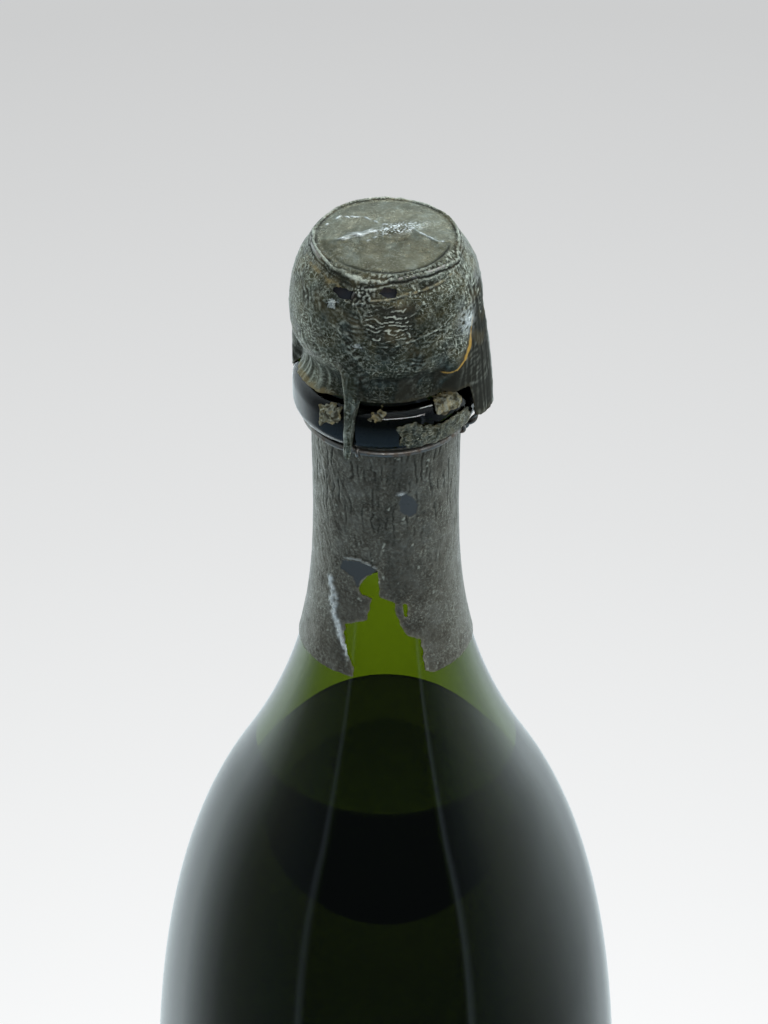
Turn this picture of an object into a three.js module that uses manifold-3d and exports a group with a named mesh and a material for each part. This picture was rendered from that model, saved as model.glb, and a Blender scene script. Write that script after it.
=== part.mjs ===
// A 75 cl champagne bottle with its wine, cork, wire cage (muselet), cap plaque and old torn foil.
// Millimetres, +Z up. The origin is the middle of the base, and azimuth 0 is the front, which faces -Y.
import * as THREE from 'three';
import { mergeVertices } from 'three/addons/utils/BufferGeometryUtils.js';
import Module from 'manifold-3d';

const wasm = await Module();
wasm.setup();

// Glass: body and shoulder
const GLASS_HEIGHT = 300; // base to the top of the lip
const BODY_RADIUS = 44.2;
const WALL = 3; // from the middle of the shoulder upwards
const BODY_WALL = 5.2;
const SHOULDER_HEIGHT = 148; // end of the straight body to the foot of the neck
const SHOULDER_SWELL = 34; // how long the shoulder keeps the body's upright line
const SHOULDER_BULGE_HEIGHT = 84; // from the shoulder's foot to where its bulge turns into its hollow
const SHOULDER_LEAN = 30.4; // degrees off upright at that height
const SHOULDER_BULGE = 24; // how long the lower shoulder keeps that lean
const SHOULDER_HOLLOW = 31; // how long the upper shoulder keeps it

// Glass: base
const HEEL_ROUND = 7;
const INNER_HEEL_ROUND = 5;
const BASE_WALL = 8;
const PUNT_RADIUS = 33;
const PUNT_DEPTH = 36;
const PUNT_CROWN = 0.45; // share of the punt's radius that its crown stays level for
const PUNT_FLANK = 0.77; // share of the punt's radius where its flank steepens
const PUNT_FLANK_RISE = 0.36; // share of the punt's depth at that place

// Glass: neck and finish
const NECK_HEIGHT = 34; // foot of the neck to the top of the lip
const NECK_EASE = 17;
const NECK_RADIUS = 12.8;
const NECK_TOP_RADIUS = 13.1;
const COLLAR_RADIUS = 16.75;
const COLLAR_HEIGHT = 9;
const COLLAR_ROUND = 3;
const LIP_HEIGHT = 7; // collar to the top of the lip
const LIP_RADIUS = 14.3;
const LIP_ROUND = 1.6;
const BORE_RADIUS = 9;
const MOUTH_ROUND = 0.8;

// Contents
const ULLAGE = 93; // top of the lip to the wine

// Cork
const CORK_IN_NECK = 24;
const CORK_DISC = 5.5;
const CORK_HEAD_RADIUS = 16.55;
const CORK_HEAD_HEIGHT = 17.6; // above the lip
const CORK_BULGE = 5.5; // height of the widest place above the lip
const CORK_SEAT_RADIUS = 14.6;
const CORK_CROWN_RADIUS = 12.9;

// Plaque and wire cage
const SHEET = 0.4;
const PLAQUE_STEP = 0.7; // the raised middle of the plaque stands this far above its rim
const RING_RADIUS = 12.9;
const WIRE = 0.8;
const BELT_WIRE = 1.2;
const FRONT_LEG = -22.5; // azimuth in degrees, positive to the right
const LEG_SPACING = 90;
const TWIST_PITCH = 6;
const EYELET_SHANK = 3.2;
const EYELET_WIDTH = 9.6; // middle of the wire to middle of the wire
const EYELET_LENGTH = 10;

// Foil
const FOIL = 0.35;
const SLEEVE_DROP = 66.5; // top of the lip to the lower edge of the neck foil
const SKIRT_FLARE = 1.3; // how far the cap's lower edge spreads over the collar
const FLAP_FLARE = 0.3; // how far a flap over a leg stands off at its end

// Clearances
const GAP = 0.3;
const GLUE = 0.1;

// Facets
const GLASS_SEGMENTS = 40;
const WINE_SEGMENTS = 36;
const CORK_SEGMENTS = 36;
const CAP_SEGMENTS = 64;
const RING_SEGMENTS = 40;
const WIRE_SIDES = 6;
const TWIST_STEPS = 12; // in one turn of a twisted pair

// Heights that several pieces share
const LIP_TOP = GLASS_HEIGHT;
const NECK_FOOT = LIP_TOP - NECK_HEIGHT;
const SHOULDER_FOOT = NECK_FOOT - SHOULDER_HEIGHT;
const SHOULDER_MIDDLE = SHOULDER_FOOT + SHOULDER_BULGE_HEIGHT;
const WINE_LEVEL = LIP_TOP - ULLAGE;
const SLEEVE_FOOT = LIP_TOP - SLEEVE_DROP;
const COLLAR_TOP = LIP_TOP - LIP_HEIGHT;
const COLLAR_BOTTOM = COLLAR_TOP - COLLAR_HEIGHT;
const CORK_SEAT = LIP_TOP + GAP;
const CORK_TOP = LIP_TOP + CORK_HEAD_HEIGHT;
const PLAQUE_RIM = CORK_TOP + GAP + SHEET;
const PLAQUE_TOP = PLAQUE_RIM + PLAQUE_STEP;
const RING_MIDDLE = PLAQUE_RIM + GAP + WIRE / 2;
const RING_TOP = RING_MIDDLE + WIRE / 2;

// Places of the wire cage
const LEG_RADIUS = COLLAR_RADIUS + GAP + WIRE; // middle of a twisted leg where it passes the collar
const HOOK_CENTRE = point(COLLAR_RADIUS - COLLAR_ROUND, COLLAR_BOTTOM + COLLAR_ROUND);
const HOOK_RADIUS = COLLAR_ROUND + GAP + WIRE;
const BELT_RADIUS = NECK_TOP_RADIUS + GAP + FOIL + GAP + BELT_WIRE / 2;
const BELT_MIDDLE = COLLAR_BOTTOM - GAP - BELT_WIRE / 2;
const OVER_LEG = GAP + 2 * WIRE + GAP; // from what a leg lies on to the foil over it

// Each leg's name, its place and the foil that tents over it: the tent is level for flat degrees on
// both sides of the leg and ends at reach degrees, and its flap hangs drop below the collar's top.
const LEGS = [
  { name: 'front', turn: 0, flat: 4, reach: 16, drop: 8 },
  { name: 'right', turn: 1, flat: 5, reach: 27, drop: 8.4 },
  { name: 'back', turn: 2, flat: 4, reach: 16, drop: 2.5 },
  { name: 'left', turn: 3, flat: 5, reach: 24, drop: 5 },
].map((leg) => ({ ...leg, azimuth: FRONT_LEG + leg.turn * LEG_SPACING }));

// The eyelet sits half way from the back leg to the left one.
const EYELET_AZIMUTH = FRONT_LEG + 2.5 * LEG_SPACING;

// The torn window in the front of the neck foil, as [across, height above the foil's lower edge],
// from the left end of the lower edge round over its top to the right end.
const TEAR = [
  [-6, -2], [-6, 2.1], [-7.3, 4.7], [-7.6, 10.2], [-3.6, 12.1], [-2.5, 16.8], [-4.5, 17.3], [-5.2, 18.5],
  [-3.6, 21.3], [-1.5, 22.8], [-1.2, 17.5], [1.5, 15.9], [1.7, 13.7], [3.6, 9.2], [6.4, 7.2], [7.3, 1.2],
  [9.2, 0], [9.2, -2],
];
const SLEEVE_BACK_RISE = 4.2; // how much higher the neck foil ends at the back
const BACK_NOTCH = [
  [-15, -2], [-15, 0], [-8, SLEEVE_BACK_RISE], [8, SLEEVE_BACK_RISE], [15, 0], [15, -2],
];

// Scraps of foil stuck to the collar, as [across, height above the collar's middle].
const SCRAPS = [
  {
    name: 'left',
    azimuth: -35,
    outline: [[-2.2, -0.2], [1.2, 1.4], [2.1, 2.8], [1.4, 4], [-0.1, 4.2], [-2.7, 3.4], [-2.6, 1]],
  },
  {
    name: 'middle',
    azimuth: -6,
    outline: [[-1.4, 3.1], [0.2, 3], [1.4, 3.6], [1.8, 4.3], [0.9, 4.5], [-0.9, 4]],
  },
  {
    name: 'right',
    azimuth: 42,
    outline: [[-2.6, 2.6], [0.4, 2.4], [3.2, 2.8], [3.3, 4], [2, 4.6], [-1.3, 4.6], [-2.7, 3.9]],
  },
  {
    name: 'lower',
    azimuth: 34,
    outline: [
      [-7.5, -2], [-5.4, -2.7], [-1, -2.9], [3.2, -2.5], [7, -2.4], [7.6, -0.6], [6.4, 1.1], [4.2, 1.2],
      [0.4, 0.7], [-3.5, 1.4], [-4.8, 2.6], [-6.7, 2.5], [-8, 1.4], [-7.2, 0],
    ],
  },
];

// Profiles in the half plane of radius and height

function point(radius, height) {
  return new THREE.Vector2(radius, height);
}

function arc(centre, radius, from, to, steps) {
  return Array.from({ length: steps + 1 }, (_, i) => {
    const angle = THREE.MathUtils.degToRad(from + ((to - from) * i) / steps);
    return point(centre.x + radius * Math.cos(angle), centre.y + radius * Math.sin(angle));
  });
}

// Moves each point of a path sideways, to the left of the way the path runs. The distance is one
// number, or a function of a point's share of the path's points.
function offset(path, distance) {
  const last = path.length - 1;
  return path.map((here, i) => {
    const along = path[Math.min(i + 1, last)].clone().sub(path[Math.max(i - 1, 0)]).normalize();
    const aside = typeof distance === 'function' ? distance(i / last) : distance;
    return point(here.x - along.y * aside, here.y + along.x * aside);
  });
}

// The stretch of a rising path between two heights.
function between(path, low, high) {
  const at = (height) => {
    const i = path.findIndex((p) => p.y > height);
    const share = (height - path[i - 1].y) / (path[i].y - path[i - 1].y);
    return path[i - 1].clone().lerp(path[i], share);
  };
  return [at(low), ...path.filter((p) => p.y > low && p.y < high), at(high)];
}

function shoulderPath(steps) {
  const lean = THREE.MathUtils.degToRad(SHOULDER_LEAN);
  const along = point(-Math.sin(lean), Math.cos(lean));
  const middle = point((BODY_RADIUS + NECK_RADIUS) / 2, SHOULDER_MIDDLE);
  const lower = new THREE.CubicBezierCurve(
    point(BODY_RADIUS, SHOULDER_FOOT),
    point(BODY_RADIUS, SHOULDER_FOOT + SHOULDER_SWELL),
    middle.clone().addScaledVector(along, -SHOULDER_BULGE),
    middle,
  );
  const upper = new THREE.CubicBezierCurve(
    middle,
    middle.clone().addScaledVector(along, SHOULDER_HOLLOW),
    point(NECK_RADIUS, NECK_FOOT - NECK_EASE),
    point(NECK_RADIUS, NECK_FOOT),
  );
  return [...lower.getPoints(steps), ...upper.getPoints(steps).slice(1)];
}

function puntPath(apex, foot, steps) {
  const rise = apex - foot.y;
  return new THREE.CubicBezierCurve(
    point(0, apex),
    point(PUNT_CROWN * foot.x, apex),
    point(PUNT_FLANK * foot.x, foot.y + PUNT_FLANK_RISE * rise),
    foot,
  ).getPoints(steps);
}

// The inside of the glass: its floor over the punt, from the middle outwards, and its side, from the
// floor's edge up to the foot of the neck. The wall thins from the body to the middle of the shoulder.
function inside() {
  const heel = point(BODY_RADIUS - BODY_WALL - INNER_HEEL_ROUND, BASE_WALL + INNER_HEEL_ROUND);
  const wall = (share) => THREE.MathUtils.lerp(BODY_WALL, WALL, Math.min(2 * share, 1));
  return {
    floor: puntPath(PUNT_DEPTH + BASE_WALL, point(heel.x, BASE_WALL), 4),
    side: [...arc(heel, INNER_HEEL_ROUND, -90, 0, 3), ...offset(shoulderPath(5), wall)],
  };
}

function collarPath() {
  const low = point(COLLAR_RADIUS - COLLAR_ROUND, COLLAR_BOTTOM + COLLAR_ROUND);
  const high = point(COLLAR_RADIUS - COLLAR_ROUND, COLLAR_TOP - COLLAR_ROUND);
  return [...arc(low, COLLAR_ROUND, -90, 0, 3), ...arc(high, COLLAR_ROUND, 0, 90, 3)];
}

// The cork's head below and above its widest place, both as rising curves.
const HEAD_WIDEST = point(CORK_HEAD_RADIUS, LIP_TOP + CORK_BULGE);
const HEAD_UNDERSIDE = new THREE.CubicBezierCurve(
  point(CORK_SEAT_RADIUS, CORK_SEAT),
  point((CORK_SEAT_RADIUS + 3 * CORK_HEAD_RADIUS) / 4, CORK_SEAT),
  point(CORK_HEAD_RADIUS, (LIP_TOP + HEAD_WIDEST.y) / 2),
  HEAD_WIDEST,
);
const HEAD_DOME = new THREE.CubicBezierCurve(
  HEAD_WIDEST,
  point(CORK_HEAD_RADIUS, (HEAD_WIDEST.y + CORK_TOP) / 2),
  point((CORK_CROWN_RADIUS + 2 * CORK_HEAD_RADIUS) / 3, (HEAD_WIDEST.y + 5 * CORK_TOP) / 6),
  point(CORK_CROWN_RADIUS, CORK_TOP),
);

// A point at a distance outside a rising curve.
function outside(curve, share, distance) {
  const along = curve.getTangent(share);
  const here = curve.getPoint(share);
  return point(here.x + along.y * distance, here.y - along.x * distance);
}

// Solids

// Turns a profile round Z. The profile runs upwards on the outside.
function lathe(profile, segments) {
  return new THREE.LatheGeometry(profile, segments).rotateX(Math.PI / 2);
}

// A turned solid whose profile changes with the azimuth: row gives its points at an azimuth in degrees.
function formedLathe(row, segments) {
  const count = row(0).length;
  const geometry = new THREE.LatheGeometry(row(0), segments);
  const places = geometry.getAttribute('position');
  for (let i = 0; i <= segments; i++) {
    const turn = (i % segments) / segments;
    const angle = 2 * Math.PI * turn;
    row(360 * turn).forEach((p, j) => {
      places.setXYZ(i * count + j, p.x * Math.sin(angle), p.y, p.x * Math.cos(angle));
    });
  }
  return geometry.rotateX(Math.PI / 2);
}

// A closed tube along a curve, with a section that is given at each share of its length.
function sweep(curve, steps, section, closed = false) {
  const frames = curve.computeFrenetFrames(steps, closed);
  const rings = closed ? steps : steps + 1;
  const sides = section(0).length;
  const places = [];
  const faces = [];
  for (let i = 0; i < rings; i++) {
    const middle = curve.getPointAt(i / steps);
    for (const p of section(i / steps)) {
      const corner = middle.clone();
      corner.addScaledVector(frames.normals[i], p.x).addScaledVector(frames.binormals[i], p.y);
      places.push(...corner.toArray());
    }
  }
  for (let i = 0; i < steps; i++) {
    const here = i * sides;
    const next = ((i + 1) % rings) * sides;
    for (let j = 0; j < sides; j++) {
      const k = (j + 1) % sides;
      faces.push(here + j, here + k, next + k, here + j, next + k, next + j);
    }
  }
  if (!closed) {
    const last = steps * sides;
    for (let j = 1; j < sides - 1; j++) {
      faces.push(0, j + 1, j, last, last + j, last + j + 1);
    }
  }
  const geometry = new THREE.BufferGeometry();
  geometry.setAttribute('position', new THREE.Float32BufferAttribute(places, 3));
  geometry.setIndex(faces);
  geometry.computeVertexNormals();
  return geometry;
}

// The section of one round wire.
function roundWire(diameter) {
  const around = Array.from({ length: WIRE_SIDES }, (_, i) => (2 * Math.PI * i) / WIRE_SIDES);
  return () => around.map((a) => point((diameter / 2) * Math.cos(a), (diameter / 2) * Math.sin(a)));
}

// Two wires twisted round each other along a curve.
function twistedPair(curve) {
  const length = curve.getLength();
  const steps = Math.ceil((TWIST_STEPS * length) / TWIST_PITCH);
  return sweep(curve, steps, (share) => {
    const twist = (2 * Math.PI * share * length) / TWIST_PITCH;
    return Array.from({ length: WIRE_SIDES }, (_, i) => {
      const a = (2 * Math.PI * i) / WIRE_SIDES;
      const reach = WIRE * Math.abs(Math.cos(a));
      return point(reach * Math.cos(a + twist), reach * Math.sin(a + twist));
    });
  });
}

function solidOf(geometry) {
  const bare = geometry.clone();
  bare.deleteAttribute('normal');
  bare.deleteAttribute('uv');
  const merged = mergeVertices(bare, 1e-3);
  const mesh = new wasm.Mesh({
    numProp: 3,
    vertProperties: merged.getAttribute('position').array,
    triVerts: new Uint32Array(merged.index.array),
  });
  return new wasm.Manifold(mesh);
}

function geometryOf(solid) {
  const mesh = solid.getMesh();
  const geometry = new THREE.BufferGeometry();
  geometry.setAttribute('position', new THREE.BufferAttribute(mesh.vertProperties, 3));
  geometry.setIndex(new THREE.BufferAttribute(mesh.triVerts, 1));
  geometry.computeVertexNormals();
  return geometry;
}

// A prism that goes from the axis out through the front, with an outline of [across, height] points.
function frontPrism(outline, base, depth) {
  const shape = new THREE.Shape(outline.map(([across, height]) => point(across, base + height)));
  const geometry = new THREE.ExtrudeGeometry(shape, { depth, bevelEnabled: false });
  return solidOf(geometry.rotateX(Math.PI / 2));
}

// Pieces

function glassBottle() {
  const heel = point(BODY_RADIUS - HEEL_ROUND, HEEL_ROUND);
  const lip = point(LIP_RADIUS - LIP_ROUND, LIP_TOP - LIP_ROUND);
  const mouth = point(BORE_RADIUS + MOUTH_ROUND, LIP_TOP - MOUTH_ROUND);
  const { floor, side } = inside();
  const profile = [
    ...puntPath(PUNT_DEPTH, point(PUNT_RADIUS, 0), 4),
    ...arc(heel, HEEL_ROUND, -90, 0, 3),
    ...shoulderPath(6),
    point(NECK_TOP_RADIUS, COLLAR_BOTTOM),
    ...collarPath(),
    point(LIP_RADIUS, COLLAR_TOP),
    ...arc(lip, LIP_ROUND, 0, 90, 3),
    ...arc(mouth, MOUTH_ROUND, 90, 180, 2),
    point(BORE_RADIUS, COLLAR_BOTTOM),
    ...side.reverse(),
    ...floor.reverse().slice(1),
  ];
  return lathe(profile, GLASS_SEGMENTS);
}

function wine() {
  const { floor, side } = inside();
  const skin = offset([...floor, ...between(side, BASE_WALL, WINE_LEVEL).slice(1)], GAP);
  skin[0].x = 0;
  skin[skin.length - 1].y = WINE_LEVEL;
  return lathe([...skin, point(0, WINE_LEVEL)], WINE_SEGMENTS);
}

const CORK_RADIUS = BORE_RADIUS - GAP;
const CORK_FOOT = LIP_TOP - CORK_IN_NECK;

function corkDisc(foot) {
  const top = foot + CORK_DISC - GLUE;
  const profile = [point(0, foot), point(CORK_RADIUS, foot), point(CORK_RADIUS, top), point(0, top)];
  return lathe(profile, CORK_SEGMENTS);
}

function corkBody() {
  const foot = CORK_FOOT + 2 * CORK_DISC;
  const profile = [
    point(0, foot),
    point(CORK_RADIUS, foot),
    point(CORK_RADIUS, CORK_SEAT),
    ...HEAD_UNDERSIDE.getPoints(4),
    ...HEAD_DOME.getPoints(6).slice(1),
    point(0, CORK_TOP),
  ];
  return lathe(profile, CORK_SEGMENTS);
}

// The pressed cap: a rim that rests on the cork and a raised middle that the wire ring goes round.
function plaque() {
  const rimRadius = CORK_CROWN_RADIUS;
  const middleRadius = RING_RADIUS - WIRE / 2 - GAP;
  const under = rimRadius - middleRadius + SHEET; // width of the rim and the sheet under the step
  const profile = [
    point(0, PLAQUE_TOP - SHEET),
    point(rimRadius - under - SHEET / 2, PLAQUE_TOP - SHEET),
    point(rimRadius - under, PLAQUE_RIM - SHEET),
    point(rimRadius, PLAQUE_RIM - SHEET),
    point(rimRadius, PLAQUE_RIM),
    point(middleRadius, PLAQUE_RIM),
    point(middleRadius - SHEET / 2, PLAQUE_TOP),
    point(0, PLAQUE_TOP),
  ];
  return lathe(profile, CORK_SEGMENTS);
}

function topRing() {
  return new THREE.TorusGeometry(RING_RADIUS, WIRE / 2, WIRE_SIDES, RING_SEGMENTS);
}

// A path in the plane of the front, from points of radius and height.
function frontCurve(points) {
  return new THREE.CatmullRomCurve3(points.map((p) => new THREE.Vector3(0, -p.x, p.y)));
}

// A twisted leg: from the ring over the cork's head and straight down past the collar.
function leg() {
  const over = [1, 0.75, 0.5, 0.25, 0].map((share) => outside(HEAD_DOME, share, GAP + WIRE));
  const down = [point(LEG_RADIUS, COLLAR_TOP - COLLAR_ROUND), point(LEG_RADIUS, HOOK_CENTRE.y + GAP)];
  return twistedPair(frontCurve([...over, ...down]));
}

// The end of a leg, hooked under the collar on to the belt.
function hook() {
  return twistedPair(frontCurve(arc(HOOK_CENTRE, HOOK_RADIUS, -90, 0, 4)));
}

const HINGE_HEIGHT = HOOK_CENTRE.y;

// The belt wire under the collar, with the four hooks and the knuckle that carries the eyelet.
function belt() {
  const ring = new THREE.TorusGeometry(BELT_RADIUS, BELT_WIRE / 2, WIRE_SIDES, RING_SEGMENTS);
  let whole = solidOf(ring.translate(0, 0, BELT_MIDDLE));
  for (const azimuth of [...LEGS.map((l) => l.azimuth), EYELET_AZIMUTH]) {
    whole = whole.add(solidOf(hook().rotateZ(THREE.MathUtils.degToRad(azimuth))));
  }
  const knuckle = new THREE.SphereGeometry(WIRE, 8, 6).translate(0, -LEG_RADIUS, HINGE_HEIGHT);
  return geometryOf(whole.add(solidOf(knuckle.rotateZ(THREE.MathUtils.degToRad(EYELET_AZIMUTH)))));
}

// The twisted tail and loop that close the cage, folded up against the collar.
function eyelet() {
  const foot = HINGE_HEIGHT + WIRE + GAP;
  const neck = foot + EYELET_SHANK;
  const shank = new THREE.LineCurve3(
    new THREE.Vector3(0, -LEG_RADIUS, foot),
    new THREE.Vector3(0, -LEG_RADIUS, neck),
  );
  const loop = new THREE.CatmullRomCurve3(
    Array.from({ length: 12 }, (_, i) => {
      const angle = (2 * Math.PI * i) / 12;
      const across = (EYELET_WIDTH / 2) * Math.sin(angle);
      const height = neck + (EYELET_LENGTH / 2) * (1 - Math.cos(angle));
      return new THREE.Vector3(across, -LEG_RADIUS, height);
    }),
    true,
  );
  const tail = solidOf(twistedPair(shank));
  return geometryOf(tail.add(solidOf(sweep(loop, 24, roundWire(BELT_WIRE), true))));
}

// How far the cap's foil is lifted over a leg at an azimuth: 1 on the leg and 0 away from it.
function tent(leg, azimuth) {
  const away = Math.abs(THREE.MathUtils.euclideanModulo(azimuth - leg.azimuth + 180, 360) - 180);
  return 1 - THREE.MathUtils.smoothstep(away, leg.flat, leg.reach);
}

// The foil over the plaque, the cork's head and the lip, with a tent over each leg of the cage.
function foilCap() {
  const waist = LIP_RADIUS + GAP;
  const overRing = [
    point(0, PLAQUE_TOP + GAP),
    point(RING_RADIUS - WIRE - GAP, PLAQUE_TOP + GAP),
    point(RING_RADIUS, RING_TOP + GAP),
  ];
  const domeShares = [0.8, 0.5, 0.25, 0];
  const plain = [
    ...overRing,
    point(RING_RADIUS + WIRE / 2 + GAP, RING_MIDDLE),
    ...domeShares.map((share) => outside(HEAD_DOME, share, GAP)),
    ...[0.5, 0.2].map((share) => outside(HEAD_UNDERSIDE, share, GAP)),
    point(waist, LIP_TOP - LIP_ROUND),
    point(waist, COLLAR_TOP + SKIRT_FLARE),
    point(waist + SKIRT_FLARE, COLLAR_TOP + GAP),
  ];
  const overCollar = point(COLLAR_RADIUS + OVER_LEG, COLLAR_TOP - COLLAR_ROUND);
  const overHead = outside(HEAD_DOME, 0, OVER_LEG);
  const tented = (leg) => [
    ...overRing,
    ...[1, ...domeShares].map((share) => outside(HEAD_DOME, share, OVER_LEG)),
    ...[0.2, 0.35, 0.5, 0.75].map((share) => overHead.clone().lerp(overCollar, share)),
    point(overCollar.x + FLAP_FLARE, COLLAR_TOP - leg.drop),
  ];
  const under = LEGS.map(tented);
  const over = under.map((path) => offset(path, FOIL));
  const plainOver = offset(plain, FOIL);
  for (const path of [plainOver, ...over]) path[0].x = 0;

  const row = (azimuth) => {
    const lifts = LEGS.map((leg) => tent(leg, azimuth));
    const nearest = lifts.indexOf(Math.max(...lifts));
    const lift = lifts[nearest];
    const mixed = (low, high) =>
      low.map((p, i) => {
        const share = i === low.length - 1 ? lift ** 3 : lift; // the flap's edge clears the collar
        return point(p.x + (high[i].x - p.x) * lift, p.y + (high[i].y - p.y) * share);
      });
    return [...mixed(plain, under[nearest]), ...mixed(plainOver, over[nearest]).reverse()];
  };
  return formedLathe(row, CAP_SEGMENTS);
}

// The foil round the neck, torn open at the front and shorter at the back.
function foilNeckSleeve() {
  const neck = [...shoulderPath(10), point(NECK_TOP_RADIUS, COLLAR_BOTTOM)];
  const path = between(neck, SLEEVE_FOOT, COLLAR_BOTTOM - GAP);
  const outer = offset(path, -GAP - FOIL);
  const inner = offset(path, -GAP).reverse();
  const sleeve = solidOf(lathe([...outer, ...inner, outer[0]], GLASS_SEGMENTS));
  const torn = sleeve.subtract(frontPrism(TEAR, SLEEVE_FOOT, 2 * NECK_RADIUS));
  const notch = frontPrism(BACK_NOTCH, SLEEVE_FOOT, 2 * NECK_RADIUS).rotate([0, 0, 180]);
  return geometryOf(torn.subtract(notch));
}

// A scrap of foil that clings to the collar's front.
function collarScrap(outline) {
  const outer = offset(collarPath(), -GAP - FOIL);
  const inner = offset(collarPath(), -GAP).reverse();
  const skin = solidOf(lathe([...outer, ...inner, outer[0]], GLASS_SEGMENTS));
  const prism = frontPrism(outline, (COLLAR_TOP + COLLAR_BOTTOM) / 2, 2 * COLLAR_RADIUS);
  return geometryOf(skin.intersect(prism));
}

// Materials

const finish = (color, roughness, metalness) => ({ color, roughness, metalness });
const GREEN_GLASS = finish(0x3d5212, 0.05, 0);
const DARK_WINE = finish(0x2a220a, 0.1, 0);
const CORK = finish(0xb98d5e, 0.9, 0);
const FINE_CORK = finish(0xc9a274, 0.85, 0);
const PLAQUE_METAL = finish(0x6d675c, 0.45, 0.9);
const DULL_STEEL = finish(0x77736a, 0.5, 1);
const OLD_FOIL = finish(0x5b554b, 0.5, 0.8);

const bottle = new THREE.Group();

function add(name, geometry, look, azimuth = 0, height = 0) {
  const mesh = new THREE.Mesh(geometry, new THREE.MeshStandardMaterial(look));
  mesh.name = name;
  mesh.rotation.z = THREE.MathUtils.degToRad(azimuth);
  mesh.position.z = height;
  bottle.add(mesh);
}

add('glass_bottle', glassBottle(), GREEN_GLASS);
add('wine', wine(), DARK_WINE);
add('cork_disc_lower', corkDisc(CORK_FOOT), FINE_CORK);
add('cork_disc_upper', corkDisc(CORK_FOOT + CORK_DISC), FINE_CORK);
add('cork_body', corkBody(), CORK);
add('plaque', plaque(), PLAQUE_METAL);
add('muselet_top_ring', topRing(), DULL_STEEL, 0, RING_MIDDLE);
for (const { name, azimuth } of LEGS) add(`muselet_leg_${name}`, leg(), DULL_STEEL, azimuth);
add('muselet_belt', belt(), DULL_STEEL);
add('muselet_eyelet', eyelet(), DULL_STEEL, EYELET_AZIMUTH);
add('foil_cap', foilCap(), OLD_FOIL);
add('foil_neck_sleeve', foilNeckSleeve(), OLD_FOIL);
for (const { name, azimuth, outline } of SCRAPS) {
  add(`foil_collar_scrap_${name}`, collarScrap(outline), OLD_FOIL, azimuth);
}

export default bottle;
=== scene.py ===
"""Looks of an old 75 cl champagne bottle: green glass, wine, cork, wire cage and torn foil.

Lengths are millimetres until a mesh is made. The frame is metres, +Z up, and the front faces -Y.
Azimuths are degrees from the front, positive towards +X.
"""

import math
import bmesh
import bpy
import numpy as np
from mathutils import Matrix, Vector


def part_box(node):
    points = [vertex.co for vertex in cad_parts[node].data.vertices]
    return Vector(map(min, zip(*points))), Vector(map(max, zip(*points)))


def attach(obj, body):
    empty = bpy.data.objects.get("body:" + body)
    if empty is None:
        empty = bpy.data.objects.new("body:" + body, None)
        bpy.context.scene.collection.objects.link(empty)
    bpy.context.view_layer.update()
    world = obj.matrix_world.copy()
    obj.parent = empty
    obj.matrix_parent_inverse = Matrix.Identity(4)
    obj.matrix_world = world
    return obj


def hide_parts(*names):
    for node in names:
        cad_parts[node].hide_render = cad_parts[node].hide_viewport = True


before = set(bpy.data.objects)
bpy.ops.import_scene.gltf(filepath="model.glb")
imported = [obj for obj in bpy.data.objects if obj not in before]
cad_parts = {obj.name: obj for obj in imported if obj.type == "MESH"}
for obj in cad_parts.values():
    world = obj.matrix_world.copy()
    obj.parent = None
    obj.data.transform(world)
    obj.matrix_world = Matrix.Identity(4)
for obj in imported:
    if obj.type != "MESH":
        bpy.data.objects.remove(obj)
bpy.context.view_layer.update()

MM = 0.001
TAU = 2 * math.pi


def top_of(node):
    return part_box(node)[1].z / MM


def foot_of(node):
    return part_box(node)[0].z / MM


# Glass
GLASS_SEGMENTS = 144
LIP_TOP = top_of("glass_bottle")
BODY_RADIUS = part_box("glass_bottle")[1].x / MM
NECK_FOOT = LIP_TOP - 34
SHOULDER_FOOT = NECK_FOOT - 148
SHOULDER_MIDDLE = SHOULDER_FOOT + 84
SHOULDER_LEAN = 30.4  # degrees off upright in the middle of the shoulder
SHOULDER_SWELL = 34
SHOULDER_BULGE = 24
SHOULDER_HOLLOW = 31
WALL = 3
BODY_WALL = 5.2
HEEL_ROUND = 7
INNER_HEEL_ROUND = 5
BASE_WALL = 8
PUNT_RADIUS = 33
PUNT_DEPTH = 36
NECK_EASE = 17
NECK_RADIUS = 12.8
NECK_TOP_RADIUS = 13.1
NECK_FILLET = 0.7
COLLAR_RADIUS = 16.75
COLLAR_TOP = LIP_TOP - 7
COLLAR_BOTTOM = COLLAR_TOP - 9
COLLAR_ROUND = 3
LIP_RADIUS = 14.3
LIP_ROUND = 1.6
BORE_RADIUS = 9
MOUTH_ROUND = 0.8
WINE_LEVEL = top_of("wine")
MENISCUS = 1.2
WETTING = 0.05  # the wine's skin lies this far inside the glass, so that no air is left between them

# Cork
CORK_FOOT = foot_of("cork_disc_lower")
CORK_DISC = 5.5
CORK_SEAT = LIP_TOP + 0.3
CORK_TOP = top_of("cork_body")
CORK_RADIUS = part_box("cork_disc_lower")[1].x / MM
HEAD_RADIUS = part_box("cork_body")[1].x / MM
HEAD_MIDDLE = LIP_TOP + 5.5
SEAT_RADIUS = 14.6
CROWN_RADIUS = 12.9

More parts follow.
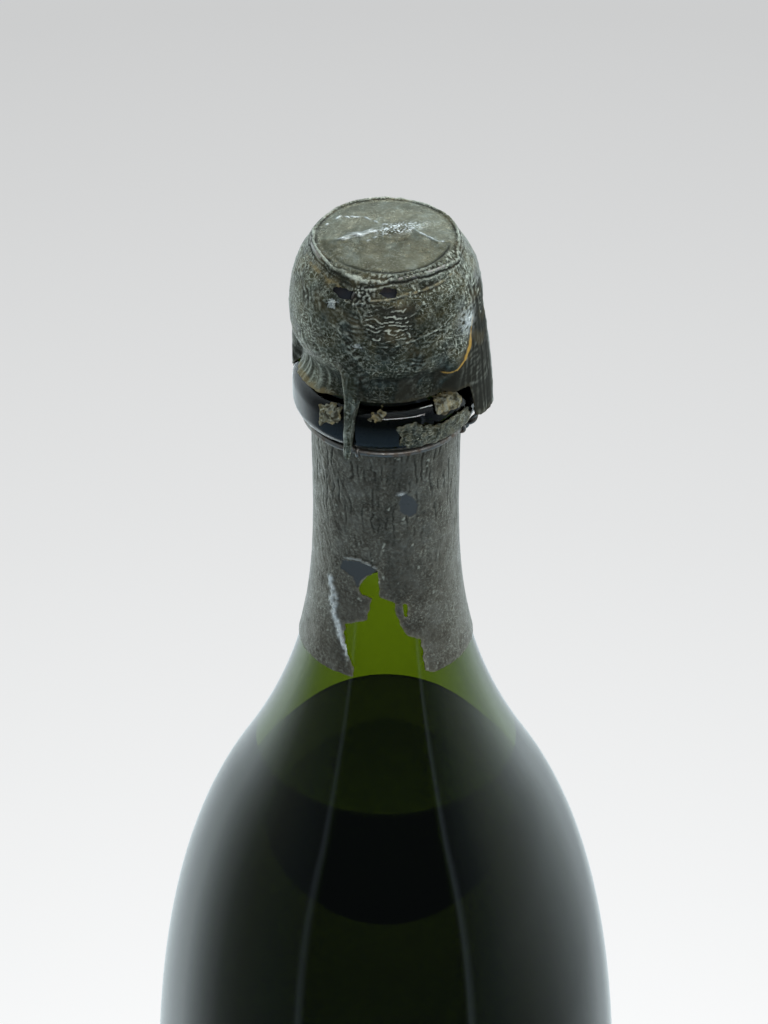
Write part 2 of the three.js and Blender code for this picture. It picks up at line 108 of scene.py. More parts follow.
# Wire cage
PLAQUE_RIM = CORK_TOP + 0.7
PLAQUE_TOP = top_of("plaque")
SHEET = 0.4
RING_RADIUS = 12.9
RING_MIDDLE = (foot_of("muselet_top_ring") + top_of("muselet_top_ring")) / 2
WIRE = 0.8
BELT_WIRE = 1.2
TWIST_PITCH = 5
WIRE_SIDES = 10
HOOK_MIDDLE = (COLLAR_RADIUS - COLLAR_ROUND, COLLAR_BOTTOM + COLLAR_ROUND)
BELT_RADIUS = 14.65
BELT_MIDDLE = COLLAR_BOTTOM - 0.9
EYE_SPREAD = 3  # degrees from a leg to the loops on both sides of it
EYELET_AZIMUTH = 202.5
EYELET_RADIUS = COLLAR_RADIUS + 1.1
EYELET_SHANK = 3.2
EYELET_WIDTH = 9.6
EYELET_LENGTH = 10
EYELET_TAIL_WIRE = 0.75

# Foil
FOIL = 0.25
CLING = 0.2  # between the neck's glass and its foil
OVER_CORK = 0.4
SLEEVE_FOOT = LIP_TOP - 66.5
SLEEVE_TOP = COLLAR_BOTTOM - 0.3
# Columns and rows of each sheet
CAP_GRID = (600, 260)
SLEEVE_GRID = (420, 230)
SCRAP_GRID = (90, 120)

# Each leg of the cage and the foil that is drawn over it: the middle of the foil, how far it stands
# off the cork at the top and at the widest place of the head, half the width of its level part and of
# its foot in degrees over the head and at the collar, and where its flap ends.
LEGS = {
    "front": dict(azimuth=-22.5, lift=(0.4, 0.45), flat=(4.5, 1.6), reach=(13, 4.6), foot=18.3, drop=9.9),
    "right": dict(azimuth=67.5, lift=(0.45, 0.7), flat=(8, 26), reach=(15, 34), foot=19.2, drop=8.9),
    "back": dict(azimuth=157.5, lift=(0.45, 0.9), flat=(3, 4), reach=(10, 13), foot=18.6, drop=4.5),
    "left": dict(azimuth=-112.5, lift=(0.4, 0.4), flat=(3, 10), reach=(12, 24), foot=17.2, drop=3),
}
FRONT_WEB = 4.0  # how far the front strip's foil leans to the right above the collar, in degrees
# How far the right flap stands out, by azimuth: it is flat on both sides of its leg.
RIGHT_FLAP = [(39, 0), (46, 0.5), (67.5, 0.8), (91, 1), (102, 0.85), (112, 0)]
# How far each leg draws the ring out and down, and how far round it that reaches in degrees.
RING_PULL = {"front": 1.0, "right": 0.6, "back": 0.4, "left": 0.6}
PULL_REACH = 42
WIRE_SINK = 0.2  # how deep the middle of a leg lies in the cork's head
LEG_WIRE = 0.6

# Where the cap ends at the front and right, as azimuth and height.
CAP_EDGE = [
    (-28, 280), (-27.4, 293.6), (-26.2, 292.5), (-25.8, 280), (-19.4, 280), (-18.8, 291), (-14, 293.4),
    (-9, 293.9), (-8, 280), (36, 280), (38, 294.6), (58, 294.3), (61, 291), (63.5, 286), (67, 284.6),
    (100, 284.5), (112, 289), (114, 280),
]

# Where the cap's lower edge spreads over the collar: the azimuth of its middle, and half its width in
# degrees where it is fully spread and where that ends.
FLARES = [(-62, 12, 31), (118, 10, 24), (-160, 10, 26)]

# The torn window in the neck foil, as (across, height above the foil's lower edge).
TEAR = [
    (-6, -2), (-6, 2.1), (-7.3, 4.7), (-7.6, 10.2), (-3.6, 12.1), (-2.5, 16.8), (-4.5, 17.3), (-5.2, 18.5),
    (-3.6, 21.3), (-1.5, 22.8), (-1.2, 17.5), (1.5, 15.9), (1.7, 13.7), (3.6, 9.2), (6.4, 7.2), (7.3, 1.2),
    (9.2, 0), (9.2, -2),
]
SLIT = [(3.1, 15.6), (3.8, 15.4), (4.0, 12.7), (3.3, 12.6)]
# Two places where the foil is gone, with a smooth blue-grey patch painted there that stands for the glass's
# reflection.
UPPER_REFLECTION_PATCH = [
    (2.3, 37.8), (2.5, 39.3), (3.6, 39.6), (5, 38.4), (5.7, 36.6), (5.4, 34.7), (4.1, 34.4), (2.7, 35.6),
]
SIDE_REFLECTION_PATCH = [
    (-8.3, 21.5), (-7.8, 23.4), (-6.1, 24.2), (-4.7, 24.1), (-2.5, 23.6), (-1.6, 22.9), (-3.6, 21.3),
    (-4.7, 20), (-5.2, 18.5), (-6.1, 20.6),
]
# The edge that peels off beside the tear, one that is rolled up above it, a chip, and longer wrinkles.
PEEL = [(-10, 18.5), (-9.5, 15.8), (-9.5, 12.7), (-8.9, 9.9), (-8, 6.7), (-6.9, 3.8)]
ROLLED_EDGE = [(-7.4, 24.5), (-4.6, 24.9), (-1.9, 23.6)]
CHIP = (2.7, 39.8)
WRINKLES = [
    [(-0.6, 32), (-1.2, 29.5), (-0.5, 27), (-1.1, 24)],
    [(12.6, 26.5), (10.3, 27.4), (8.9, 22.6), (7.5, 19)],
    [(-12.6, 46), (-10.6, 40), (-8.6, 34), (-7.6, 30)],
]
SLEEVE_BACK_RISE = 4.2  # how much higher the sleeve ends at the back

# Scraps on the collar: azimuth and outline as (across, height above the collar's middle).
SCRAPS = {
    "left": (-35, [(-2.2, -0.2), (1.2, 1.4), (2.1, 2.8), (1.4, 4), (-0.1, 4.2), (-2.7, 3.4), (-2.6, 1)]),
    "middle": (-6, [(-1.5, 3.1), (0.2, 3.0), (1.4, 3.5), (1.9, 4.3), (0.9, 4.6), (-0.9, 4.0)]),
    "right": (42, [(-2.7, 2.6), (0.4, 2.3), (3.2, 2.7), (3.5, 4), (2.4, 5), (-1.6, 5), (-2.9, 3.9)]),
    "lower": (34, [
        (-7.5, -2), (-5.4, -2.7), (-1, -2.9), (3.2, -2.5), (7, -2.4), (7.6, -0.6), (6.4, 1.1), (4.2, 1.2),
        (0.4, 0.7), (-3.5, 1.4), (-4.8, 2.6), (-6.7, 2.5), (-8, 1.4), (-7.2, 0),
    ]),
}


# Noise

DIRECTION_COUNT = 1024
DIRECTIONS = np.random.default_rng(11).normal(size=(DIRECTION_COUNT, 3))
DIRECTIONS /= np.linalg.norm(DIRECTIONS, axis=1, keepdims=True)
# Large numbers that scatter the cells and the seed over the directions
SCATTER = (73856093, 19349663, 83492791)
SEED_SCATTER = 265443
LAST_SCATTER = 1274126177


def noise(points, seed):
    """Smooth noise of about -1 to 1 at points with three coordinates."""
    cell = np.floor(points).astype(np.int64)
    part = points - cell
    fade = part**3 * (part * (part * 6 - 15) + 10)
    total = np.zeros(points.shape[:-1])
    for corner in np.ndindex(2, 2, 2):
        at = cell + np.array(corner)
        key = np.bitwise_xor.reduce(at * np.array(SCATTER), axis=-1) ^ seed * SEED_SCATTER
        key = (key ^ (key >> 13)) * LAST_SCATTER
        slope = DIRECTIONS[(key ^ (key >> 16)) % DIRECTION_COUNT]
        weight = np.prod(np.where(np.array(corner) == 1, fade, 1 - fade), axis=-1)
        total += weight * ((part - np.array(corner)) * slope).sum(-1)
    return 1.6 * total


def layered(points, *layers):
    """A sum of noise, with the weight, size and seed of each layer."""
    return sum(weight * noise(points / size, seed) for weight, size, seed in layers)


def sheet(across, along):
    """Points for noise that differs in two directions only."""
    return np.stack([across, along, np.zeros_like(along)], -1)


def wandering(points, size, seed):
    """A smooth shift of points that makes straight lines wander."""
    return 0.8 * np.stack([noise(points / size, seed + k) for k in range(3)], -1)


def creases(points, seed, octaves=2):
    """Sharp folds between smooth facets, as a crumpled sheet has, about -0.5 to 0.5."""
    total = np.zeros(points.shape[:-1])
    for k in range(octaves):
        total += (0.3 - np.abs(noise(points * 2**k + 5.3 * k, seed + k))) / 2**k
    return total


def crumple(points, seed, size, count=6):
    """Straight folds that cross in all directions, each only in places, about -0.5 to 0.5."""
    total = np.zeros(points.shape[:-1])
    for k in range(count):
        length = size * (0.7 + 0.6 * (0.618 * k % 1))
        direction = DIRECTIONS[(37 * seed + 101 * k) % DIRECTION_COUNT]
        along = points @ direction / length + 0.5 * noise(points / (1.5 * size), seed + k)
        there = smoothstep(-0.1, 0.5, noise(points / (2.2 * size) + 3.7 * k, seed + 31))
        total += there * (0.5 - 2 * to_whole(along))
    return total / math.sqrt(count)


def broken_up(points, seed):
    """Patches from 0 to 1 that break a line up."""
    return smoothstep(-0.3, 0.4, noise(points / 1.1, seed))


def to_whole(value):
    """Distance to the nearest whole number."""
    return np.abs(value - np.floor(value + 0.5))


def hump(*values):
    """1 where all values are 0, and less away from there."""
    return np.exp(-sum(value**2 for value in values))


def smoothstep(low, high, value):
    t = np.clip((value - low) / (high - low), 0, 1)
    return t * t * (3 - 2 * t)


def bell(azimuth, middle, flat, reach):
    """1 within a flat half width of an azimuth, falling to 0 at its reach."""
    away = np.abs((azimuth - middle + 180) % 360 - 180)
    return 1 - smoothstep(0, 1, (away - flat) / (reach - flat))


# Paths in the half plane of radius and height


def bezier(a, b, c, d, steps):
    t = np.linspace(0, 1, steps + 1)[:, None]
    a, b, c, d = (np.asarray(p, float) for p in (a, b, c, d))
    return (1 - t) ** 3 * a + 3 * (1 - t) ** 2 * t * b + 3 * (1 - t) * t**2 * c + t**3 * d


def arc(middle, radius, start, end, steps):
    angle = np.radians(np.linspace(start, end, steps + 1))
    return np.column_stack([middle[0] + radius * np.cos(angle), middle[1] + radius * np.sin(angle)])


def unit(vectors):
    return vectors / np.maximum(np.linalg.norm(vectors, axis=-1, keepdims=True), 1e-12)


def lengths_along(path):
    """How far each point of a path is from its start, along it."""
    return np.concatenate([[0], np.cumsum(np.linalg.norm(np.diff(path, axis=0), axis=1))])


def offset(path, distance):
    """The path moved sideways, to the left of the way it runs."""
    along = unit(np.gradient(path, axis=0))
    aside = np.column_stack([-along[:, 1], along[:, 0]])
    return path + aside * np.reshape(distance, (-1, 1))


def curve(shares, anchors, at):
    """A smooth curve through anchors at rising shares."""
    slopes = np.gradient(anchors, shares, axis=0)
    i = np.clip(np.searchsorted(shares, at, side="right") - 1, 0, len(shares) - 2)
    width = (shares[i + 1] - shares[i])[..., None]
    t = (at - shares[i])[..., None] / width
    bend = slopes[i] * t * (1 - t) ** 2 - slopes[i + 1] * t**2 * (1 - t)
    return anchors[i] * (1 + 2 * t) * (1 - t) ** 2 + anchors[i + 1] * t**2 * (3 - 2 * t) + width * bend


def shoulder(steps):
    lean = math.radians(SHOULDER_LEAN)
    along = np.array([-math.sin(lean), math.cos(lean)])
    middle = np.array([(BODY_RADIUS + NECK_RADIUS) / 2, SHOULDER_MIDDLE])
    upright = (BODY_RADIUS, SHOULDER_FOOT + SHOULDER_SWELL)
    lower = bezier((BODY_RADIUS, SHOULDER_FOOT), upright, middle - SHOULDER_BULGE * along, middle, steps)
    ease = (NECK_RADIUS, NECK_FOOT - NECK_EASE)
    upper = bezier(middle, middle + SHOULDER_HOLLOW * along, ease, (NECK_RADIUS, NECK_FOOT), steps)
    return np.vstack([lower, upper[1:]])


def punt(apex, foot, steps):
    flank = (0.77 * foot[0], foot[1] + 0.36 * (apex - foot[1]))
    return bezier((0, apex), (0.45 * foot[0], apex), flank, foot, steps)


def inside():
    """The inside of the glass: its floor from the middle outwards, and its side from there upwards."""
    heel = (BODY_RADIUS - BODY_WALL - INNER_HEEL_ROUND, BASE_WALL + INNER_HEEL_ROUND)
    path = shoulder(48)
    wall = BODY_WALL + (WALL - BODY_WALL) * np.minimum(2 * np.linspace(0, 1, len(path)), 1)
    side = np.vstack([arc(heel, INNER_HEEL_ROUND, -90, 0, 10), offset(path, wall)])
    return punt(PUNT_DEPTH + BASE_WALL, (heel[0], BASE_WALL), 24), side


def collar():
    low = (COLLAR_RADIUS - COLLAR_ROUND, COLLAR_BOTTOM + COLLAR_ROUND)
    high = (COLLAR_RADIUS - COLLAR_ROUND, COLLAR_TOP - COLLAR_ROUND)
    return np.vstack([arc(low, COLLAR_ROUND, -90, 0, 14), arc(high, COLLAR_ROUND, 0, 90, 14)])


HEAD_UNDERSIDE = bezier(
    (SEAT_RADIUS, CORK_SEAT),
    ((SEAT_RADIUS + 3 * HEAD_RADIUS) / 4, CORK_SEAT),
    (HEAD_RADIUS, (LIP_TOP + HEAD_MIDDLE) / 2),
    (HEAD_RADIUS, HEAD_MIDDLE),
    20,
)
HEAD_DOME = bezier(
    (HEAD_RADIUS, HEAD_MIDDLE),
    (HEAD_RADIUS, (HEAD_MIDDLE + CORK_TOP) / 2),
    ((CROWN_RADIUS + 2 * HEAD_RADIUS) / 3, (HEAD_MIDDLE + 5 * CORK_TOP) / 6),
    (CROWN_RADIUS, CORK_TOP),
    20,
)


def off_head(path, share, distance):
    """A point at a distance outside the cork's head."""
    return offset(path, -distance)[round(share * (len(path) - 1))]


# Meshes


def build(name, points, faces, marks=None, crease=40):
    """A smooth object from points in millimetres, with named numbers kept at its points."""
    mesh = bpy.data.meshes.new(name)
    mesh.from_pydata((np.asarray(points) * MM).tolist(), [], faces)
    for mark, values in (marks or {}).items():
        mesh.attributes.new(mark, "FLOAT", "POINT").data.foreach_set("value", values.astype(np.float32))
    mesh.polygons.foreach_set("use_smooth", np.ones(len(mesh.polygons), bool))
    mesh.set_sharp_from_angle(angle=math.radians(crease))
    mesh.validate()
    made = bpy.data.objects.new(name, mesh)
    bpy.context.scene.collection.objects.link(made)
    return made


def turned(azimuth, radius, height):
    """Points at azimuths in degrees, radii and heights."""
    angle = np.radians(azimuth)
    return np.stack(np.broadcast_arrays(radius * np.sin(angle), -radius * np.cos(angle), height), -1)


def azimuth_at(points):
    return np.degrees(np.arctan2(points[..., 0], -points[..., 1]))


def circle(count):
    """Azimuths in even steps all round."""
    return 360 * np.arange(count) / count


def band_faces(rings, sides, closed=False):
    """Faces between rings of points that follow each other."""
    faces = []
    for i in range(rings if closed else rings - 1):
        here, there = i * sides, (i + 1) % rings * sides
        for j in range(sides):
            k = (j + 1) % sides
            faces.append((here + j, here + k, there + k, there + j))
    return faces


def lathe(name, profile, segments, relief=None, crease=40):
    """A solid turned from a profile that starts and ends on the axis, upwards on its outside."""
    rings = profile[1:-1]
    points = turned(circle(segments)[None, :], rings[:, 0, None], rings[:, 1, None])
    if relief is not None:
        points = points + relief(points)
    count = len(rings) * segments
    points = np.vstack([points.reshape(-1, 3), [[0, 0, profile[0, 1]], [0, 0, profile[-1, 1]]]])
    faces = band_faces(len(rings), segments)
    last = count - segments
    for j in range(segments):
        k = (j + 1) % segments
        faces += [(count, k, j), (last + j, last + k, count + 1)]
    return build(name, points, faces, crease=crease)


def moving_frames(path, closed):
    """Two directions across a path at each of its points, carried along it without twist."""
    along = np.roll(path, -1, 0) - np.roll(path, 1, 0) if closed else np.gradient(path, axis=0)
    along = unit(along)
    first = np.cross(along[0], (0.3, 0.2, 0.93))
    across = [first / np.linalg.norm(first)]
    for direction in along[1:]:
        carried = across[-1] - direction * (across[-1] @ direction)
        across.append(carried / np.linalg.norm(carried))
    across = np.array(across)
    return across, np.cross(along, across)


def tube(path, radius, closed=False):
    across, beyond = moving_frames(path, closed)
    angle = TAU * np.arange(WIRE_SIDES) / WIRE_SIDES
    ring = np.cos(angle)[:, None] * across[:, None] + np.sin(angle)[:, None] * beyond[:, None]
    points = (path[:, None] + radius * ring).reshape(-1, 3)
    faces = band_faces(len(path), WIRE_SIDES, closed)
    if not closed:
        faces.append(tuple(range(WIRE_SIDES))[::-1])
        faces.append(tuple(range(len(points) - WIRE_SIDES, len(points))))
    return points, faces


def twisted(path, wire):
    """Two wires twisted round each other along a path."""
    turn = TAU * lengths_along(path) / TWIST_PITCH
    across, beyond = moving_frames(path, False)
    aside = (wire / 2) * (np.cos(turn)[:, None] * across + np.sin(turn)[:, None] * beyond)
    return [tube(path + aside, wire / 2), tube(path - aside, wire / 2)]


def joined(name, parts):
    points, faces, start = [], [], 0
    for part_points, part_faces in parts:
        points.append(part_points)
        faces += [tuple(start + i for i in face) for face in part_faces]
        start += len(part_points)
    return build(name, np.vstack(points), faces)


def step_distance(start, end, across, height):
    """Distance to a straight line from one point to another."""
    (ax, ay), (bx, by) = start, end
    dx, dy = bx - ax, by - ay
    share = np.clip(((across - ax) * dx + (height - ay) * dy) / (dx * dx + dy * dy), 0, 1)
    return np.hypot(across - ax - share * dx, height - ay - share * dy)


def line_distance(line, across, height):
    """Distance to an open line of points."""
    return np.min([step_distance(*ends, across, height) for ends in zip(line[:-1], line[1:])], 0)


def outline_distance(outline, across, height):
    """Distance to an outline, below 0 inside it."""
    closed = outline + outline[:1]
    within = np.zeros(across.shape, bool)
    for (ax, ay), (bx, by) in zip(closed[:-1], closed[1:]):
        if ay != by:
            crossing = ax + (height - ay) * (bx - ax) / (by - ay)
            within ^= ((ay > height) != (by > height)) & (across < crossing)
    nearest = line_distance(closed, across, height)
    return np.where(within, -nearest, nearest)


def line_glow(lines, across, height, width):
    """1 on the given lines and less beside them."""
    away = np.min([line_distance(line, across, height) for line in lines], 0)
    return hump(away / width)


# Sheets of foil

RIDGE_SPREAD = 2  # steps of a sheet's grid from a ridge to its surroundings


def shifted(grid, up, right, wrap):
    moved = np.roll(grid, (up, right), (0, 1))
    if up:
        moved[0 if up > 0 else -1] = 0
    if right and not wrap:
        moved[:, 0 if right > 0 else -1] = 0
    return moved


def normals_of(points, faces):
    a, b, c, d = (points[faces[:, i]] for i in range(4))
    flat = np.cross(c - a, d - b)
    total = np.zeros_like(points)
    for i in range(4):
        np.add.at(total, faces[:, i], flat)
    return unit(total)


def foil(name, place, keep, form, grid, wrap=False, pole=False):
    """A sheet of foil over u to the right and v upwards, both from 0 to 1.

    place(u, v) gives its outer face and keep(u, v) is above 0 where there is foil. form(points, u, v)
    gives how far its creases stand out there and the marks that its material reads. The grid is its
    number of columns and rows, and a pole is a last row that meets in one point.
    """
    columns, rows = grid
    right = np.arange(columns) / columns if wrap else np.linspace(0, 1, columns)
    u, v = np.meshgrid(right, np.linspace(0, 1, rows))
    depth = keep(u, v)
    solid = depth > 0
    count = np.zeros(u.shape)
    move_u = np.zeros(u.shape)
    move_v = np.zeros(u.shape)
    step_u, step_v = right[1] - right[0], 1 / (rows - 1)
    for up in (-1, 0, 1):
        for aside in (-1, 0, 1):
            near = shifted(solid, up, aside, wrap) & ~solid
            other = np.where(near, shifted(depth, up, aside, wrap), 1)
            share = np.where(near, depth / np.minimum(depth - other, -1e-9), 0)
            move_u -= share * aside * step_u
            move_v -= share * up * step_v
            count += near
    edge = (count > 0) & ~solid
    u = u + np.where(edge, move_u / np.maximum(count, 1), 0)
    v = v + np.where(edge, move_v / np.maximum(count, 1), 0)

    index = np.arange(u.size).reshape(u.shape)
    beside = np.roll(index, -1, 1)
    quads = np.stack([index, beside, np.roll(beside, -1, 0), np.roll(index, -1, 0)], -1)
    quads = (quads[:-1] if wrap else quads[:-1, :-1]).reshape(-1, 4)
    usable, sure = (solid | edge).ravel(), solid.ravel()
    quads = quads[usable[quads].all(1) & sure[quads].any(1)]

    points = place(u, v)
    relief, marks = form(points, u, v)
    outer = points.reshape(-1, 3)
    normals = normals_of(outer, quads)
    if pole:
        normals[index[-1]] = (0, 0, 1)
    outer = outer + normals * relief.reshape(-1, 1)
    normals = normals_of(outer, quads)
    if pole:
        outer[index[-1]] = outer[index[-1]].mean(0)
        normals[index[-1]] = (0, 0, 1)
    inner = outer - FOIL * normals

    used = np.unique(quads)
    place_of = np.zeros(u.size, int)
    place_of[used] = np.arange(len(used))
    quads = place_of[quads]
    edges = np.concatenate([quads[:, [i, (i + 1) % 4]] for i in range(4)])
    keys = edges[:, 0] * len(used) + edges[:, 1]
    rim = edges[~np.isin(keys, edges[:, 1] * len(used) + edges[:, 0])]
    if pole:
        top = set(place_of[index[-1]].tolist())
        rim = np.array([e for e in rim if not (e[0] in top and e[1] in top)])
    n = len(used)
    sides = np.column_stack([rim[:, 1], rim[:, 0], rim[:, 0] + n, rim[:, 1] + n])
    faces = np.vstack([quads, quads[:, ::-1] + n, sides])
    kept = {mark: np.tile(np.clip(values, 0, 1).ravel()[used], 2) for mark, values in marks.items()}
    made = build(name, np.vstack([outer[used], inner[used]]), faces.tolist(), kept, crease=70)
    if pole:
        weld(made)
    return made


def weld(made):
    work = bmesh.new()
    work.from_mesh(made.data)
    bmesh.ops.remove_doubles(work, verts=work.verts, dist=1e-7)
    work.to_mesh(made.data)
    work.free()


def ridges_of(relief, scale):
    """Where creases stand above their surroundings, 0 to 1."""
    around = relief
    for axis in (0, 1):
        both = np.roll(around, RIDGE_SPREAD, axis) + np.roll(around, -RIDGE_SPREAD, axis)
        around = (both + around) / 3
    return np.clip((relief - around) / scale, 0, 1)


# Materials


class Look:
    """A material, or the world's light, that is put together node by node."""

    def __init__(self, name, world=False):
        self.material = (bpy.data.worlds if world else bpy.data.materials).new(name)
        self.material.use_nodes = True
        self.tree = self.material.node_tree
        self.shader = self.tree.nodes["Background" if world else "Principled BSDF"]
        self.output = self.tree.nodes["World Output" if world else "Material Output"]

    def node(self, kind, inputs=None, **settings):
        made = self.tree.nodes.new("ShaderNode" + kind)
        for name, value in settings.items():
            setattr(made, name, value)
        for name, value in (inputs or {}).items():
            self.feed(made.inputs[name], value)
        return made

    def feed(self, socket, value):
        if isinstance(value, bpy.types.NodeSocket):
            self.tree.links.new(value, socket)
        else:
            socket.default_value = value

    def set(self, **values):
        for name, value in values.items():
            self.feed(self.shader.inputs[name.replace("_", " ")], value)

    def place(self, stretch=(1, 1, 1)):
        where = self.node("TexCoord").outputs["Object"]
        return self.node("Mapping", {"Vector": where, "Scale": stretch}).outputs["Vector"]

    def noise(self, size, detail=4, stretch=(1, 1, 1), rough=0.55):
        inputs = {"Vector": self.place(stretch), "Scale": 1 / (size * MM)}
        inputs |= {"Detail": detail, "Roughness": rough}
        return self.node("TexNoise", inputs).outputs["Fac"]

    def cells(self, size, feature="DISTANCE_TO_EDGE", stretch=(1, 1, 1), output="Distance"):
        inputs = {"Vector": self.place(stretch), "Scale": 1 / (size * MM)}
        return self.node("TexVoronoi", inputs, feature=feature).outputs[output]

    def ramp(self, value, stops):
        made = self.node("ValToRGB", {"Fac": value})
        elements = made.color_ramp.elements
        while len(elements) < len(stops):
            elements.new(0.5)
        for element, (at, colour) in zip(elements, stops):
            element.position = at
            element.color = (*colour, 1) if isinstance(colour, tuple) else (colour, colour, colour, 1)
        return made.outputs["Color"]

    def mix(self, share, first, second, blend="MIX"):
        made = self.node("Mix", data_type="RGBA", blend_type=blend)
        for socket, value in ((0, share), (6, first), (7, second)):
            is_colour = isinstance(value, tuple)
            self.feed(made.inputs[socket], (*value, 1) if is_colour else value)
        return made.outputs[2]

    def math(self, operation, first, second):
        made = self.node("Math", operation=operation)
        self.feed(made.inputs[0], first)
        self.feed(made.inputs[1], second)
        return made.outputs[0]

    def times(self, first, second):
        return self.math("MULTIPLY", first, second)

    def most(self, first, second):
        return self.math("MAXIMUM", first, second)

    def rest(self, share):
        return self.math("SUBTRACT", 1.0, share)

    def rise(self, value, low, high):
        """From 0 to 1 while a value goes from low to high."""
        return self.node("MapRange", {0: value, 1: low, 2: high}).outputs[0]

    def height(self):
        return self.node("SeparateXYZ", {0: self.place()}).outputs["Z"]

    def mark(self, name):
        return self.node("Attribute", attribute_name=name).outputs["Fac"]

    def bump(self, height, strength, distance):
        inputs = {"Height": height, "Strength": strength, "Distance": distance * MM}
        return self.node("Bump", inputs).outputs["Normal"]


def clear_look(name, ior, smears, rough, tint, density):
    """A clear solid that dims the light in it, with faint rough smears."""
    look = Look(name)
    look.set(Base_Color=(1, 1, 1, 1), Transmission_Weight=1.0, IOR=ior)
    look.set(Roughness=look.ramp(look.noise(*smears), rough))
    absorb = look.node("VolumeAbsorption", {"Color": (*tint, 1), "Density": density})
    look.feed(look.output.inputs["Volume"], absorb.outputs["Volume"])
    return look.material


FOIL_TONES_AT = (0.32, 0.5, 0.68)
PALE_SPECKS = (0.72, 0.77, 0.65)
# Colours of the marks on foil, each laid over those before it
MARK_TONES = {
    # Stains, and painted shade on the foil.
    "dark": (0.024, 0.0245, 0.02),
    "worn": (0.69, 0.74, 0.64),
    "tan": (0.34, 0.27, 0.13),
    "gold": (0.58, 0.36, 0.09),
    "bare": (0.84, 0.9, 0.91),
    # Painted reflection: the blue-grey of the glass seen where the neck foil is gone.
    "film": (0.075, 0.087, 0.095),
}


def old_foil(name, tones, metal, pale, bump):
    """Foil in three tones from stained to clean, with pale specks and creases of the given share."""
    look = Look(name)
    mark = {key: look.mark(key) for key in (*MARK_TONES, "smooth")}
    colour = look.ramp(look.noise(4, 6, rough=0.7), list(zip(FOIL_TONES_AT, tones)))
    lines = look.ramp(look.cells(1.5, stretch=(1, 1, 1.5)), [(0.0, 1.0), (0.06, 0.0)])
    specks = look.ramp(look.noise(0.5, 3, rough=0.5), [(0.55, 0.0), (0.61, 1.0)])
    patchy = look.ramp(look.noise(5, 4), [(0.36, 0.15), (0.6, 1.0)])
    covered = look.rest(look.most(mark["film"], mark["smooth"]))
    network = look.times(look.most(look.times(lines, 0.6), specks), patchy)
    clean = look.rest(look.times(mark["dark"], 0.45))
    network = look.times(look.times(network, clean), covered)
    matt = look.ramp(mark["dark"], [(0.68, 0.0), (0.9, 1.0)])
    speckled = look.times(network, pale)
    colour = look.mix(speckled, colour, PALE_SPECKS)
    for key, tone in MARK_TONES.items():
        colour = look.mix(mark[key], colour, tone)
    dull = look.most(mark["worn"], look.most(look.times(mark["bare"], 0.5), speckled))
    dull = look.math("ADD", dull, look.math("ADD", mark["tan"], mark["gold"]))
    dull = look.math("MINIMUM", look.math("ADD", dull, mark["film"]), 1.0)
    metal = look.times(look.rest(look.times(dull, 0.85)), metal)
    metal = look.times(metal, look.rest(matt))
    rough = look.mix(matt, look.ramp(look.noise(2.5, 5), [(0.35, 0.25), (0.7, 0.42)]), (0.9, 0.9, 0.9))
    grain = look.math("ADD", network, look.times(look.noise(0.6, 4, rough=0.6), covered))
    look.set(Base_Color=colour, Metallic=metal, Roughness=rough, Specular_IOR_Level=0.15)
    look.set(Normal=look.bump(grain, bump, 0.16))
    return look.material


def dull_wire():
    look = Look("dull_wire")
    rust = look.ramp(look.noise(2.2, 5, rough=0.7), [(0.48, 0.0), (0.68, 1.0)])
    colour = look.mix(rust, (0.33, 0.32, 0.3), (0.13, 0.075, 0.04))
    rough = look.ramp(look.noise(0.8, 3), [(0.3, 0.3), (0.75, 0.6)])
    look.set(Base_Color=colour, Metallic=look.rest(look.times(rust, 0.7)), Roughness=rough)
    look.set(Normal=look.bump(look.noise(0.3, 4), 0.4, 0.06))
    return look.material


def plaque_metal():
    look = Look("plaque_metal")
    worn = look.ramp(look.noise(3, 6, rough=0.7), [(0.5, 0.0), (0.64, 1.0)])
    colour = look.mix(worn, (0.062, 0.075, 0.092), (0.2, 0.22, 0.23))
    rough = look.ramp(look.noise(1.2, 4), [(0.3, 0.3), (0.7, 0.55)])
    look.set(Base_Color=colour, Metallic=0.85, Roughness=rough)
    look.set(Normal=look.bump(look.noise(0.6, 4), 0.25, 0.08))
    return look.material


CORK_GRAIN = 2.4
CORK_PALE = (0.42, 0.23, 0.1)
CORK_DARK = (0.2, 0.1, 0.045)
# Blue-black towards the top of the head, rising from the first height to full at the second.
CORK_TOP_DARK = (0.02, 0.026, 0.036)
TOP_DARK_FOOT = CORK_TOP - 6
TOP_DARK_FULL = CORK_TOP - 2.5


def granule_cork():
    look = Look("granule_cork")
    grains = look.cells(CORK_GRAIN, "F1", output="Color")
    tone = look.node("SeparateColor", {"Color": grains}).outputs[0]
    brightest = tuple(1.15 * c for c in CORK_PALE)
    colour = look.ramp(tone, [(0.1, CORK_DARK), (0.55, CORK_PALE), (0.95, brightest)])
    seams = look.ramp(look.cells(CORK_GRAIN), [(0.0, 1.0), (0.09, 0.0)])
    colour = look.mix(look.times(seams, 0.75), colour, (0.07, 0.035, 0.015))
    pores = look.ramp(look.noise(0.45, 3), [(0.62, 0.0), (0.7, 1.0)])
    colour = look.mix(look.times(pores, 0.7), colour, (0.1, 0.05, 0.025))
    # Blue-black towards the top of the head.
    top_dark = look.rise(look.height(), TOP_DARK_FOOT * MM, TOP_DARK_FULL * MM)
    top_dark = look.times(top_dark, look.ramp(look.noise(3, 5), [(0.25, 0.9), (0.6, 1.0)]))
    colour = look.mix(top_dark, colour, CORK_TOP_DARK)
    height = look.math("SUBTRACT", look.noise(0.7, 4), look.times(seams, 0.6))
    look.set(Base_Color=colour, Roughness=0.85, Normal=look.bump(height, 0.6, 0.15))
    return look.material


